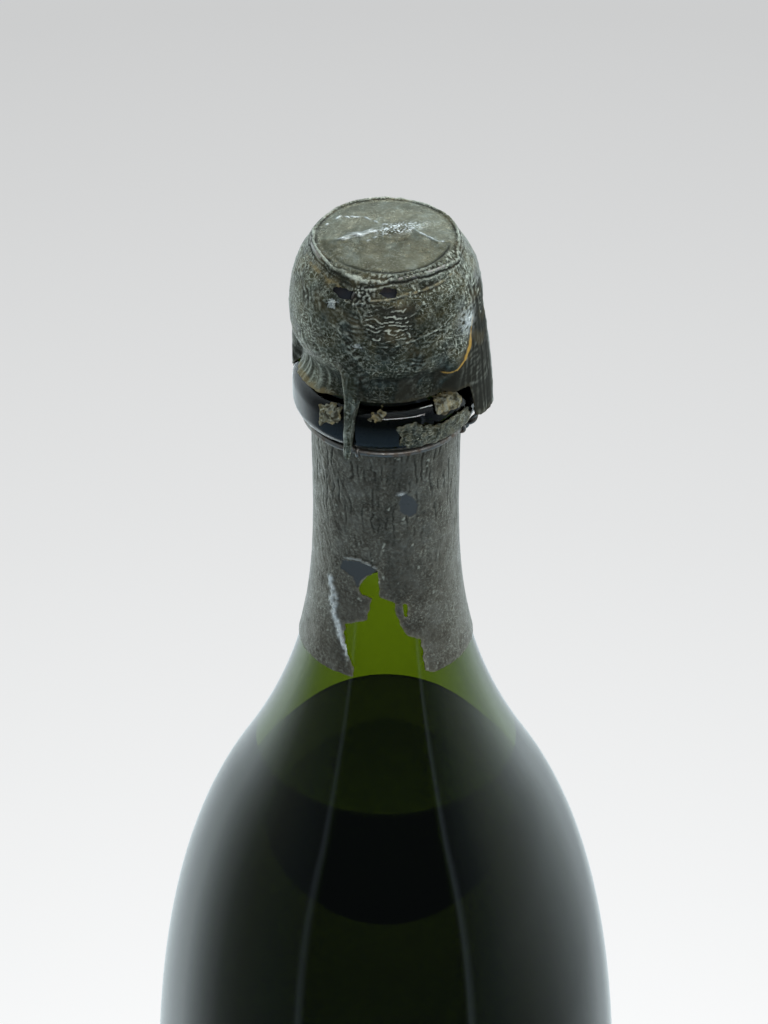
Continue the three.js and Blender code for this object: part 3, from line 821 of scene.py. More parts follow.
def natural_cork():
    look = Look("natural_cork")
    tones = [(0.3, (0.36, 0.21, 0.1)), (0.7, (0.56, 0.36, 0.19))]
    colour = look.ramp(look.noise(3, 5, (1, 1, 0.5)), tones)
    pores = look.ramp(look.noise(1.1, 2, (1, 1, 2.6)), [(0.62, 0.0), (0.68, 1.0)])
    colour = look.mix(look.times(pores, 0.8), colour, (0.12, 0.06, 0.03))
    soaked = look.rise(look.height(), (CORK_FOOT + 3) * MM, CORK_FOOT * MM)
    colour = look.mix(look.times(soaked, 0.6), colour, (0.2, 0.1, 0.05))
    height = look.math("SUBTRACT", look.noise(0.6, 4), pores)
    look.set(Base_Color=colour, Roughness=0.8, Normal=look.bump(height, 0.5, 0.12))
    return look.material


GLASS_LOOK = clear_look(
    "green_glass",
    ior=1.52,
    smears=(14, 5, (1, 1, 0.35)),
    rough=[(0.45, 0.0), (0.75, 0.025)],
    tint=(0.69, 0.755, 0.0),
    density=1130.0,
)
WINE_LOOK = clear_look(
    "wine",
    ior=1.34,
    smears=(9, 2),
    rough=[(0.3, 0.0), (0.8, 0.02)],
    tint=(0.12, 0.1, 0.0),
    density=800.0,
)
HEAD_FOIL_LOOK = old_foil(
    "head_foil",
    tones=[(0.047, 0.042, 0.017), (0.097, 0.096, 0.058), (0.172, 0.193, 0.16)],
    metal=0.85,
    pale=0.9,
    bump=1.1,
)
NECK_FOIL_LOOK = old_foil(
    "neck_foil",
    tones=[(0.096, 0.085, 0.066), (0.162, 0.152, 0.122), (0.23, 0.226, 0.195)],
    metal=0.5,
    pale=0.22,
    bump=0.5,
)
WIRE_LOOK = dull_wire()
PLAQUE_LOOK = plaque_metal()
CORK_LOOK = granule_cork()
FINE_CORK_LOOK = natural_cork()


def dress(piece, look, body, slot, *nodes):
    """Gives a piece its material, the body it rides on and the solids it stands for."""
    piece.data.materials.append(look)
    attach(piece, body)
    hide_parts(*nodes)
    return piece


# Glass and wine


def glass():
    heel = (BODY_RADIUS - HEEL_ROUND, HEEL_ROUND)
    lip = (LIP_RADIUS - LIP_ROUND, LIP_TOP - LIP_ROUND)
    mouth = (BORE_RADIUS + MOUTH_ROUND, LIP_TOP - MOUTH_ROUND)
    floor, side = inside()
    fillet = (NECK_TOP_RADIUS + NECK_FILLET, COLLAR_BOTTOM - NECK_FILLET)
    profile = np.vstack([
        punt(PUNT_DEPTH, (PUNT_RADIUS, 0), 24),
        arc(heel, HEEL_ROUND, -90, 0, 12),
        shoulder(48),
        arc(fillet, NECK_FILLET, 180, 90, 5),
        collar(),
        [(LIP_RADIUS + 0.5, COLLAR_TOP), (LIP_RADIUS + 0.12, COLLAR_TOP + 0.12)],
        [(LIP_RADIUS, COLLAR_TOP + 0.5)],
        arc(lip, LIP_ROUND, 0, 90, 8),
        arc(mouth, MOUTH_ROUND, 90, 180, 6),
        [(BORE_RADIUS, COLLAR_BOTTOM)],
        side[::-1],
        floor[::-1][1:],
    ])
    return lathe("bottle_glass", profile, GLASS_SEGMENTS)


def wine():
    floor, side = inside()
    path = np.vstack([floor, side[1:]])
    skin = offset(path, -WETTING)
    skin[0, 0] = 0
    skin = skin[skin[:, 1] < WINE_LEVEL + MENISCUS]
    edge, top = skin[-1]
    hollow = [(edge - 0.25, top - 0.5), (edge - 0.9, WINE_LEVEL + 0.25), (edge - 2.4, WINE_LEVEL)]
    return lathe("bottle_wine", np.vstack([skin, hollow, [(0, WINE_LEVEL)]]), GLASS_SEGMENTS)


dress(glass(), GLASS_LOOK, "bottle", "green_glass", "glass_bottle")
dress(wine(), WINE_LOOK, "bottle", "wine", "wine")


# Cork


def pitted(depth, seed):
    """A face with pits, and with grooves in the head where the legs lie."""

    def relief(points):
        out = unit(points * (1, 1, 0))
        rough = layered(points, (1, 1.3, seed), (0.6, 0.5, seed + 1))
        azimuth = azimuth_at(points)
        grooves = np.max([bell(azimuth, spec["azimuth"], 1.2, 3.6) for spec in LEGS.values()], 0)
        grooves = grooves * smoothstep(HEAD_MIDDLE - 3, HEAD_MIDDLE, points[..., 2])
        return out * (depth * np.minimum(rough, 0.2) - (WIRE_SINK + LEG_WIRE) * grooves)[..., None]

    return relief


def cork_disc(name, foot, seed):
    top = foot + CORK_DISC - 0.1
    edge = 0.25
    side = np.column_stack([np.full(9, CORK_RADIUS), np.linspace(foot + edge, top - edge, 9)])
    low = [(0, foot), (CORK_RADIUS / 2, foot), (CORK_RADIUS - edge, foot)]
    high = [(CORK_RADIUS - edge, top), (CORK_RADIUS / 2, top), (0, top)]
    return lathe(name, np.vstack([low, side, high]), 72, pitted(0.08, seed))


def cork_body():
    foot = CORK_FOOT + 2 * CORK_DISC
    stem = np.column_stack([np.full(24, CORK_RADIUS), np.linspace(foot + 0.2, CORK_SEAT - 0.3, 24)])
    seat = np.column_stack([np.linspace(CORK_RADIUS + 0.3, SEAT_RADIUS - 0.5, 8), np.full(8, CORK_SEAT)])
    low = [(0, foot), (CORK_RADIUS / 2, foot), (CORK_RADIUS - 0.2, foot)]
    crown = np.column_stack([np.linspace(CROWN_RADIUS - 0.6, 0, 8), np.full(8, CORK_TOP)])
    profile = np.vstack([low, stem, seat, HEAD_UNDERSIDE, HEAD_DOME[1:], crown])
    return lathe("cork_stopper", profile, 240, pitted(0.12, 31))


low_disc = cork_disc("cork_disc_low", CORK_FOOT, 35)
dress(low_disc, FINE_CORK_LOOK, "cork", "fine_cork", "cork_disc_lower")
high_disc = cork_disc("cork_disc_high", CORK_FOOT + CORK_DISC, 38)
dress(high_disc, FINE_CORK_LOOK, "cork", "fine_cork", "cork_disc_upper")
dress(cork_body(), CORK_LOOK, "cork", "cork", "cork_body")


# Plaque and wire cage


def plaque():
    middle = RING_RADIUS - WIRE / 2 - 0.3
    under = [(0, PLAQUE_TOP - SHEET), (middle - 0.9, PLAQUE_TOP - SHEET)]
    rim = [
        (middle - 0.5, PLAQUE_RIM - SHEET + 0.15),
        (middle - 0.3, PLAQUE_RIM - SHEET),
        (CROWN_RADIUS - 0.12, PLAQUE_RIM - SHEET),
        (CROWN_RADIUS, PLAQUE_RIM - SHEET / 2),
        (CROWN_RADIUS - 0.12, PLAQUE_RIM),
    ]
    over = [
        (middle + 0.15, PLAQUE_RIM),
        (middle - 0.02, PLAQUE_RIM + 0.12),
        (middle - 0.12, PLAQUE_TOP - 0.15),
        (middle - 0.35, PLAQUE_TOP),
        (middle - 2.2, PLAQUE_TOP),
        (middle - 2.5, PLAQUE_TOP - 0.12),
        (middle - 2.9, PLAQUE_TOP - 0.12),
        (middle - 3.2, PLAQUE_TOP),
        (0, PLAQUE_TOP),
    ]
    return lathe("cap_plaque", np.array(under + rim + over), 120, crease=50)


def ring_pull(azimuth):
    """How far the cage's legs draw its ring out and down at an azimuth, as at a square's corners."""
    pull = np.zeros(np.shape(azimuth))
    for name, amount in RING_PULL.items():
        away = np.abs((azimuth - LEGS[name]["azimuth"] + 180) % 360 - 180)
        pull = np.maximum(pull, amount * np.clip(1 - away / PULL_REACH, 0, 1) ** 1.5)
    return pull


def at_azimuth(path, azimuth):
    """A path of radius and height, put at an azimuth."""
    return turned(azimuth, path[:, 0], path[:, 1])


def resampled(path, step):
    """A smooth path through the given points, with even steps."""
    lengths = lengths_along(path)
    fine = curve(lengths, path, np.linspace(0, lengths[-1], 400))
    lengths = lengths_along(fine)
    at = np.linspace(0, lengths[-1], max(4, round(lengths[-1] / step)))
    return np.column_stack([np.interp(at, lengths, fine[:, i]) for i in range(path.shape[1])])


def leg(name, azimuth):
    over = [off_head(HEAD_DOME, share, -WIRE_SINK) for share in (1, 0.75, 0.5, 0.25, 0)]
    beside = COLLAR_RADIUS + LEG_WIRE + 0.1
    down = [(beside, COLLAR_TOP - COLLAR_ROUND), (beside, HOOK_MIDDLE[1] + 0.3)]
    path = resampled(np.array([*over, *down]), 0.35)
    return joined("cage_leg_" + name, twisted(at_azimuth(path, azimuth), LEG_WIRE))


def eye(azimuth):
    """A loop of wire round the belt."""
    angle = TAU * np.arange(18) / 18
    reach = BELT_WIRE / 2 + LEG_WIRE / 2
    path = np.column_stack([BELT_RADIUS + reach * np.cos(angle), BELT_MIDDLE + reach * np.sin(angle)])
    return tube(at_azimuth(path, azimuth), LEG_WIRE / 2, closed=True)


def belt():
    parts = [tube(turned(circle(120), BELT_RADIUS, BELT_MIDDLE), BELT_WIRE / 2, closed=True)]
    hook = arc(HOOK_MIDDLE, COLLAR_ROUND + LEG_WIRE + 0.1, 0, -90, 22)
    for azimuth in [spec["azimuth"] for spec in LEGS.values()] + [EYELET_AZIMUTH]:
        parts += twisted(at_azimuth(hook, azimuth), LEG_WIRE)
        parts += [eye(azimuth - EYE_SPREAD), eye(azimuth + EYE_SPREAD)]
    return joined("cage_belt", parts)


def eyelet():
    foot = HOOK_MIDDLE[1] + WIRE + 0.3
    neck = foot + EYELET_SHANK
    shank = np.column_stack([np.full(16, EYELET_RADIUS), np.linspace(foot, neck + 0.4, 16)])
    parts = twisted(at_azimuth(shank, EYELET_AZIMUTH), EYELET_TAIL_WIRE)
    angle = TAU * np.arange(64) / 64
    across = (EYELET_WIDTH / 2) * np.sin(angle)
    height = neck + (EYELET_LENGTH / 2) * (1 - np.cos(angle))
    side = np.radians(EYELET_AZIMUTH)
    out = np.array([math.sin(side), -math.cos(side), 0]) * EYELET_RADIUS
    along = np.array([math.cos(side), math.sin(side), 0])
    loop = out + across[:, None] * along + height[:, None] * np.array([0, 0, 1])
    return joined("cage_eyelet", parts + [tube(loop, BELT_WIRE / 2, closed=True)])


def top_ring():
    azimuth = circle(160)
    pull = ring_pull(azimuth)
    path = turned(azimuth, RING_RADIUS + 0.75 * pull, RING_MIDDLE - 1.25 * pull)
    return joined("cage_ring", [tube(path, WIRE / 2, closed=True)])


dress(plaque(), PLAQUE_LOOK, "cage", "plaque_metal", "plaque")
dress(top_ring(), WIRE_LOOK, "cage", "wire", "muselet_top_ring")
for leg_name, spec in LEGS.items():
    dress(leg(leg_name, spec["azimuth"]), WIRE_LOOK, "cage", "wire", "muselet_leg_" + leg_name)
dress(belt(), WIRE_LOOK, "cage", "wire", "muselet_belt")
dress(eyelet(), WIRE_LOOK, "eyelet", "wire", "muselet_eyelet")


# Foil over the head

CAP_DISC = [(0, 319.75), (5.5, 319.72), (10.4, 319.6), (11.6, 319.5)]
CAP_RING = [(12.5, 319.5), (13.25, 319.2), (13.55, 318.6)]
CAP_DOME = [0.84, 0.7, 0.5, 0.25, 0]


def cap_path(flare=0.0):
    """The cap's outer face from its lower edge up to the middle of its disc."""
    down = [off_head(HEAD_DOME, share, OVER_CORK + FOIL) for share in CAP_DOME]
    down += [off_head(HEAD_UNDERSIDE, share, OVER_CORK + FOIL) for share in (0.6, 0.25)]
    down += [(14.9, 298.6), (14.75 + 0.5 * flare, 295.2)]
    down += [(14.95 + 1.7 * flare, COLLAR_TOP + 0.95 - 0.35 * flare)]
    return np.array(CAP_DISC + CAP_RING + down)[::-1]


PLAIN_CAP = cap_path()
FLARED_CAP = cap_path(flare=1.0)
CAP_SHARES = lengths_along(PLAIN_CAP)
CAP_LENGTH = CAP_SHARES[-1]
CAP_SHARES /= CAP_LENGTH
UNDER_HEAD = CAP_SHARES[5]  # where the foil turns in below the head's widest place
HEAD_SIDE = CAP_SHARES[7]
RING_FOOT = CAP_SHARES[10]
RING_OUTSIDE = CAP_SHARES[11]
RING_TOP = CAP_SHARES[12]
DISC_EDGE = CAP_SHARES[13]
RING_SHARE = RING_TOP - 0.2 / CAP_LENGTH


def tent_path(spec):
    """The cap's outer face over a leg, which holds it off the head's underside and the collar."""
    top, wide = spec["lift"]
    dome = [off_head(HEAD_DOME, share, top + (wide - top) * (1 - share) + FOIL) for share in CAP_DOME]
    knee = (spec["foot"], COLLAR_TOP - COLLAR_ROUND)
    line = np.array([(spec["foot"] + 0.05, COLLAR_TOP - spec["drop"]), knee, dome[-1]])
    lengths = lengths_along(line)
    along = CAP_SHARES[:5] / UNDER_HEAD * lengths[-1]
    low = np.column_stack([np.interp(along, lengths, line[:, i]) for i in range(2)])
    return np.vstack([low, dome[::-1], CAP_RING[::-1], CAP_DISC[::-1]])


def flare_at(azimuth):
    return np.max([bell(azimuth, *flare) for flare in FLARES], 0)


def azimuth_of(u):
    return 360 * u - 180


def cap_place(u, v):
    azimuth = azimuth_of(u)
    plain = curve(CAP_SHARES, PLAIN_CAP, v)
    path = plain + flare_at(azimuth)[..., None] * (curve(CAP_SHARES, FLARED_CAP, v) - plain)
    low = 1 - smoothstep(0.4 * UNDER_HEAD, 1.5 * UNDER_HEAD, v)
    for name, spec in LEGS.items():
        middle, narrow = spec["azimuth"], low
        if name == "front":
            narrow = 1 - smoothstep(0.36 * UNDER_HEAD, 0.7 * UNDER_HEAD, v)
            middle = middle + FRONT_WEB * (1 - narrow)
        flat = spec["flat"][0] + (spec["flat"][1] - spec["flat"][0]) * narrow
        reach = spec["reach"][0] + (spec["reach"][1] - spec["reach"][0]) * narrow
        lifted = bell(azimuth, middle, flat, reach)
        if name == "right":
            lifted = lifted * (1 - low) + np.interp(azimuth, *np.array(RIGHT_FLAP).T) * low
        path = path + lifted[..., None] * (curve(CAP_SHARES, tent_path(spec), v) - path)
    ring = smoothstep(HEAD_SIDE, RING_FOOT, v) * (1 - smoothstep(RING_OUTSIDE, DISC_EDGE, v))
    pull = ring_pull(azimuth) * ring
    return turned(azimuth, path[..., 0] + 0.9 * pull, path[..., 1] - 1.2 * pull)


# Lines and spots on the cap as (azimuth times this radius, height)
CAP_MEASURE = 15.5
FOLD_LEFT = [(-80, 317.6), (-59, 317.4), (-41, 317), (-25, 316.9)]
FOLD_RIGHT = [(-10, 315.9), (-2, 316), (6, 316.3), (13, 316.7), (32, 316.9), (44, 317.1), (55, 317.4)]
PALE_EDGE = [(50, 318), (62, 316.6), (69, 314.5), (73, 311.5), (75, 307)]
PALE_ARC = [(-4, 307.6), (2.6, 307.7), (10.6, 308.1), (22.5, 309), (33, 309.6), (44, 311)]
GOLD_LINE = [(61, 308.5), (59.5, 306), (57, 303), (52, 300.8), (46, 299.4), (40, 298.8)]
CAP_HOLES = [((-29, 316.2), (2.1, 0.9)), ((1.6, 317.2), (2.1, 0.75))]
CAP_FLAKES = [((-36, 314), 1.25), ((-18, 307.3), 0.7)]
CAP_FROST = (56, 308.3)
# Where the right flap starts, as height and azimuth
FLAP_START = [(296, 40), (300, 47), (304, 57), (312, 62)]
CAP_NODE = (-17, 316.4)
# Lines and spots on the disc as (across, depth)
DISC_SMEAR = [(-8.6, -0.8), (-6.6, 1.1), (-4, 1.5), (-1, 1.3), (-2, 0.5), (-4.2, -0.5), (-7.6, -1.8)]
DISC_STAR = (2.6, 2.3)
DISC_CREST = [
    (-8.4, -1.2), (-4.4, 0), (-1.4, 0.9), (2.6, 2.3), (4.8, 1.9), (6.9, -0.3), (8.3, -1.7), (10, -2.2),
]
DISC_FOLDS = [
    [(-6, 6.2), (-3.9, 6), (-2, 4.6), (0.2, 3.4)],
    [(-1.8, 6.2), (0.2, 5.8)],
    [(-10.5, 4), (-8, 6.6), (-6.6, 6)],
    [(-3.4, -2), (-0.6, 0.2)],
]


def on_cap(line):
    return [(math.radians(azimuth) * CAP_MEASURE, height) for azimuth, height in line]


def cap_spot(points, spot):
    return np.radians(azimuth_at(points) - spot[0]) * CAP_MEASURE, points[..., 2] - spot[1]


def cap_keep(u, v):
    points = cap_place(u, v)
    azimuth = azimuth_of(u)
    ragged = layered(points, (0.5, 1.6, 41), (0.3, 0.5, 42))
    depth = v * CAP_LENGTH - 0.2 - 0.45 * np.abs(ragged)
    flap = points[..., 2] - np.interp(azimuth, *np.array(CAP_EDGE).T, left=0, right=0) - 0.5 * ragged
    depth = np.minimum(depth, flap)
    front = points[..., 1] < 0
    for spot, (wide, tall) in CAP_HOLES:
        across, height = cap_spot(points, spot)
        hole = (np.hypot(across / wide, height / tall) - 1) * tall + 0.6 * ragged
        depth = np.where(front, np.minimum(depth, hole), depth)
    return depth


def ring_form(azimuth, v, points):
    """The cage's ring under the foil: how far it stands out, and the painted shade in the grooves beside it.
    """
    away = (v - RING_SHARE) * CAP_LENGTH + 0.3 * noise(points / 2.1, 43) + 0.12 * noise(points / 0.8, 47)
    wide = smoothstep(-20, -6, azimuth) * (1 - smoothstep(66, 84, azimuth))
    close = bell(azimuth, -24, 4, 34) * (1 - wide)
    single = 0.34 * hump(away / (0.22 + 0.12 * close))
    upper = hump((away - 0.55) / 0.3) * smoothstep(-0.5, 0.5, noise(points / 1.8, 44))
    under = hump((away + 0.45) / 0.3) * smoothstep(-0.4, 0.6, noise(points / 1.5, 48))
    rough = np.exp(-((away / 0.9) ** 4)) * layered(points, (0.28, 0.75, 46), (0.16, 0.4, 49))
    double = 0.22 * upper + 0.26 * under + rough
    # Painted shade in the grooves on both sides of the ring.
    inner = hump((away - 1.2) / 0.16) * np.maximum(wide, 0.6 * close)
    outer = hump((away + 1.15) / 0.2) * (0.3 + 0.7 * wide)
    return single * (1 - wide) + double * wide - 0.2 * inner - 0.22 * outer, np.maximum(inner, outer)


def cap_form(points, u, v):
    x, y, z = np.moveaxis(points, -1, 0)
    front = y < 0
    azimuth = azimuth_at(points)
    across = np.radians(azimuth) * CAP_MEASURE
    disc = smoothstep(RING_TOP, DISC_EDGE, v)
    low = 1 - smoothstep(298.5, 302, z)
    side = (1 - disc) * (1 - low)
    flared = flare_at(azimuth)
    flap_start = np.interp(z, *np.array(FLAP_START).T)
    flap = smoothstep(-2, 2, azimuth - flap_start) * (1 - smoothstep(98, 112, azimuth))
    flap = flap * (1 - smoothstep(311, 316, z))
    crackled = bell(azimuth, 3, 9, 20) * smoothstep(308, 309.5, z) * (1 - smoothstep(314.6, 315.6, z))

    # Creases of several sizes
    wander = wandering(points, 1.7, 19)
    bent = points + wander
    patches = smoothstep(-0.3, 0.35, noise(points / 4.5, 62)) * (1 - 0.4 * bell(azimuth, 38, 8, 28))
    small = 0.3 * crumple(points, 5, 3.4)
    fine = 0.2 * crumple(points, 9, 1.3, 8) * (0.35 + 0.65 * patches)
    ripple = z / 0.95 + noise(points * (0.42, 0.42, 0.5), 113) + 0.3 * noise(points / 0.8, 14)
    dashes = smoothstep(-0.4, 0.1, noise(points * (0.35, 0.35, 1.2), 115))
    waves = 0.26 * (1 - smoothstep(0, 0.15, to_whole(ripple))) * dashes
    pleats = crumple(sheet(across, z / 6), 17, 2.0)
    streaks = crumple(sheet(across, z / 7), 18, 1.6)
    relief = side * (small * (1 - 0.6 * crackled) + fine * (1 - 0.7 * crackled)) + crackled * waves
    pleated = (0.12 + 0.55 * flared) * pleats + 0.5 * small + 0.25 * fine
    relief = relief + low * pleated + 0.25 * flap * streaks
    ring, grooves = ring_form(azimuth, v, points)
    relief = relief + ring

    # The disc's dents and folds
    smear = 1 - smoothstep(-0.5, 0.2, outline_distance(DISC_SMEAR, bent[..., 0], bent[..., 1]))
    star_x, star_y = x - DISC_STAR[0], y - DISC_STAR[1]
    star = hump(star_x / 2.8, (star_y - 0.3 * star_x) / 1.2)
    broken = broken_up(points, 27)
    crest_away = line_distance(DISC_CREST, bent[..., 0], bent[..., 1])
    near_x, near_y = x + 0.4 * wander[..., 0], y + 0.4 * wander[..., 1]
    # Painted highlights: glints along the disc's crest and folds, laid on as bare metal.
    lines = line_glow([DISC_CREST] + DISC_FOLDS, near_x, near_y, 0.18) * broken * (1 - 0.8 * star)
    dents = 0.12 * noise(points / 5, 21) + 0.35 * np.exp(-crest_away / 2.5)
    crushed = star * crumple(points, 22, 0.8, 8)
    # Painted highlights: bright specks over the star.
    star_glints = smoothstep(0.02, 0.22, layered(points, (1, 0.36, 28), (0.4, 1.1, 33)))
    star_glints = np.clip(1.6 * star, 0, 1) * star_glints
    dented = dents + 0.16 * lines + 0.5 * crushed + 0.12 * star_glints + 0.2 * smear + 0.25 * fine + 0.15 * small
    relief = relief + disc * dented

    # Folds and spots on the head
    bent_height = z + 0.12 * noise(points / 0.7, 24)
    fold = line_glow([on_cap(FOLD_RIGHT)], across, bent_height, 0.16) * (1 - disc) * front
    band = line_glow([on_cap(FOLD_LEFT)], across, bent_height, 0.45) * broken * (1 - disc) * front
    bent_across = across + 0.3 * noise(points / 1.2, 30)
    lumps = layered(points, (1, 0.6, 53), (0.5, 0.3, 54))
    pale = line_glow([on_cap(PALE_ARC)], bent_across, bent_height, 0.11) * front
    pale = pale * broken_up(points / 0.7, 34)
    seam = line_glow([on_cap(PALE_EDGE)], bent_across, bent_height, 0.5) * front * smoothstep(0, 0.5, lumps)
    gold_width = 0.1 + 0.32 * hump((z - 302.6) / 2.4)
    gold_away = line_distance(on_cap(GOLD_LINE), across, z) + 0.15 * noise(points / 0.9, 29)
    gold = (1 - smoothstep(0.6, 1.2, gold_away / gold_width)) * front
    aside, height = cap_spot(points, CAP_NODE)
    node = hump(aside / 1.9, height / 1.4) * front
    flakes = np.zeros(u.shape)
    ragged = layered(points, (0.7, 0.8, 51), (0.7, 0.33, 52))
    for spot, size in CAP_FLAKES:
        aside, height = cap_spot(points, spot)
        spread = np.hypot(aside, 1.1 * height) + ragged
        flakes = np.maximum(flakes, (1 - smoothstep(0.6 * size, 0.75 * size, spread)) * front)
    aside, height = cap_spot(points, CAP_FROST)
    frost = hump(aside / 1.7, height / 2.2) * front
    frost = frost * smoothstep(-0.55, 0.15, layered(points, (1, 0.6, 58), (0.6, 1.6, 59)))
    relief = relief + 0.14 * fold + 0.12 * pale + 0.5 * node * lumps
    relief = relief + 0.3 * flakes * (0.5 + ragged) + 0.12 * frost

    # Marks
    worn = ridges_of(relief, 0.06)
    # Painted shade in the hollows of the creases.
    hollow = ridges_of(-relief, 0.06)
    edge = 1 - smoothstep(0.2, 0.8, cap_keep(u, v) + 0.4 * noise(points / 1.2, 57))
    tan = np.maximum((0.06 + 0.6 * flared) * edge * low, 0.7 * band)
    tan = np.maximum(tan, 0.75 * fold * broken) + 0.14 * side * smoothstep(0, 0.5, noise(points / 3.2, 60))
    back_half = smoothstep(-0.6, 0.4, bent[..., 1] - np.interp(bent[..., 0], *np.array(DISC_CREST).T))
    # Random stain and the crackled patch's darker foil, with painted shade on the waist below the head.
    darkening = 0.38 * smoothstep(-0.2, 0.5, noise(points / 4, 61)) + 0.45 * low * (1 - flared) + 0.5 * crackled
    strip = bell(azimuth, LEGS["front"]["azimuth"], 4, 7) * low
    combed = smoothstep(-0.1, 0.5, noise(sheet(across / 0.5, z / 4), 63))
    # The front strip is left clear of this darkening; painted shade on the head's front.
    darkening = darkening * (1 - strip) + 0.15 * bell(azimuth, -5, 25, 60) * side
    # Painted shade over the right flap, less at its outer edge, where a painted highlight lies.
    rim = bell(azimuth, 93, 3, 12) * flap
    darkening = np.maximum(darkening, (0.92 - 0.3 * rim) * flap)
    streaky = smoothstep(-0.5, 0.3, noise(sheet(0.35 * x, 2 * (y - 0.3 * x)), 32))
    pale_disc = disc * (0.02 + 0.08 * back_half)
    # Stain and painted shade: the darkening above with the creases' hollows, and on the disc a darker stain
    # over the front half.
    stain_and_shade = (darkening + 0.65 * hollow) * (1 - disc) + (0.1 + 0.25 * (1 - back_half)) * disc
    pale_ring = smoothstep(0.1, 0.4, ring) * smoothstep(-0.3, 0.6, noise(points / 0.9, 45))
    scuffed = (0.15 + 0.55 * patches + 0.45 * crackled) * worn * (1 - disc)
    scuffed = scuffed * (1 - 0.5 * flap) + 0.08 * flared * low
    # Painted highlights on the tops of the node's lumps, and painted shade in its hollows.
    node_glints = 0.6 * node * smoothstep(0.3, 0.7, lumps)
    node_shade = node * smoothstep(-0.3, 0.2, -lumps)
    rubbed = scuffed + 0.6 * pale + pale_disc + 0.3 * pale_ring + 0.4 * frost
    # Bare metal on the disc: the smear is wear, while the crest, folds and star specks are painted
    # highlights.
    disc_wear_and_glints = disc * (lines + 1.6 * star_glints + 0.55 * smear * streaky)
    marks = {
        # The flap's outer edge gets a painted highlight here.
        "worn": rubbed + 0.12 * rim + seam + 0.3 * strip * combed,
        "smooth": 0.8 * disc * (1 - star) + 0.6 * flap + 0.35 * low,
        "tan": tan,
        "gold": gold,
        "bare": 0.5 * flakes + 0.9 * frost + node_glints + disc_wear_and_glints,
        # Painted shade in the grooves beside the ring and in the node's hollows, over the stain and shade
        # above.
        "dark": np.minimum(stain_and_shade + 0.85 * grooves + node_shade, 0.95),
    }
    return relief, marks


cap = foil("foil_hood", cap_place, cap_keep, cap_form, CAP_GRID, wrap=True, pole=True)
dress(cap, HEAD_FOIL_LOOK, "cage", "foil", "foil_cap")


# Foil round the neck

NECK_PATH = np.vstack([shoulder(60), [(NECK_TOP_RADIUS, COLLAR_BOTTOM)]])


def sleeve_place(u, v):
    height = SLEEVE_FOOT + v * (SLEEVE_TOP - SLEEVE_FOOT)
    radius = np.interp(height, NECK_PATH[:, 1], NECK_PATH[:, 0]) + CLING + FOIL
    return turned(azimuth_of(u), radius, height)


def tear_distance(points):
    x, y, z = np.moveaxis(points, -1, 0)
    height = z - SLEEVE_FOOT
    ragged = 0.22 * noise(points / 1.3, 71) + 0.16 * noise(points / 0.45, 72)
    away = np.min([outline_distance(outline, x, height) for outline in (TEAR, SLIT)], 0)
    return np.where(y < 0, away + ragged, 9)


def sleeve_keep(u, v):
    points = sleeve_place(u, v)
    rise = SLEEVE_BACK_RISE * smoothstep(105, 150, np.abs(azimuth_of(u)))
    foot = v * (SLEEVE_TOP - SLEEVE_FOOT) - rise - 0.15 - 0.3 * np.abs(noise(points / 1.8, 75))
    return np.minimum(tear_distance(points), foot)


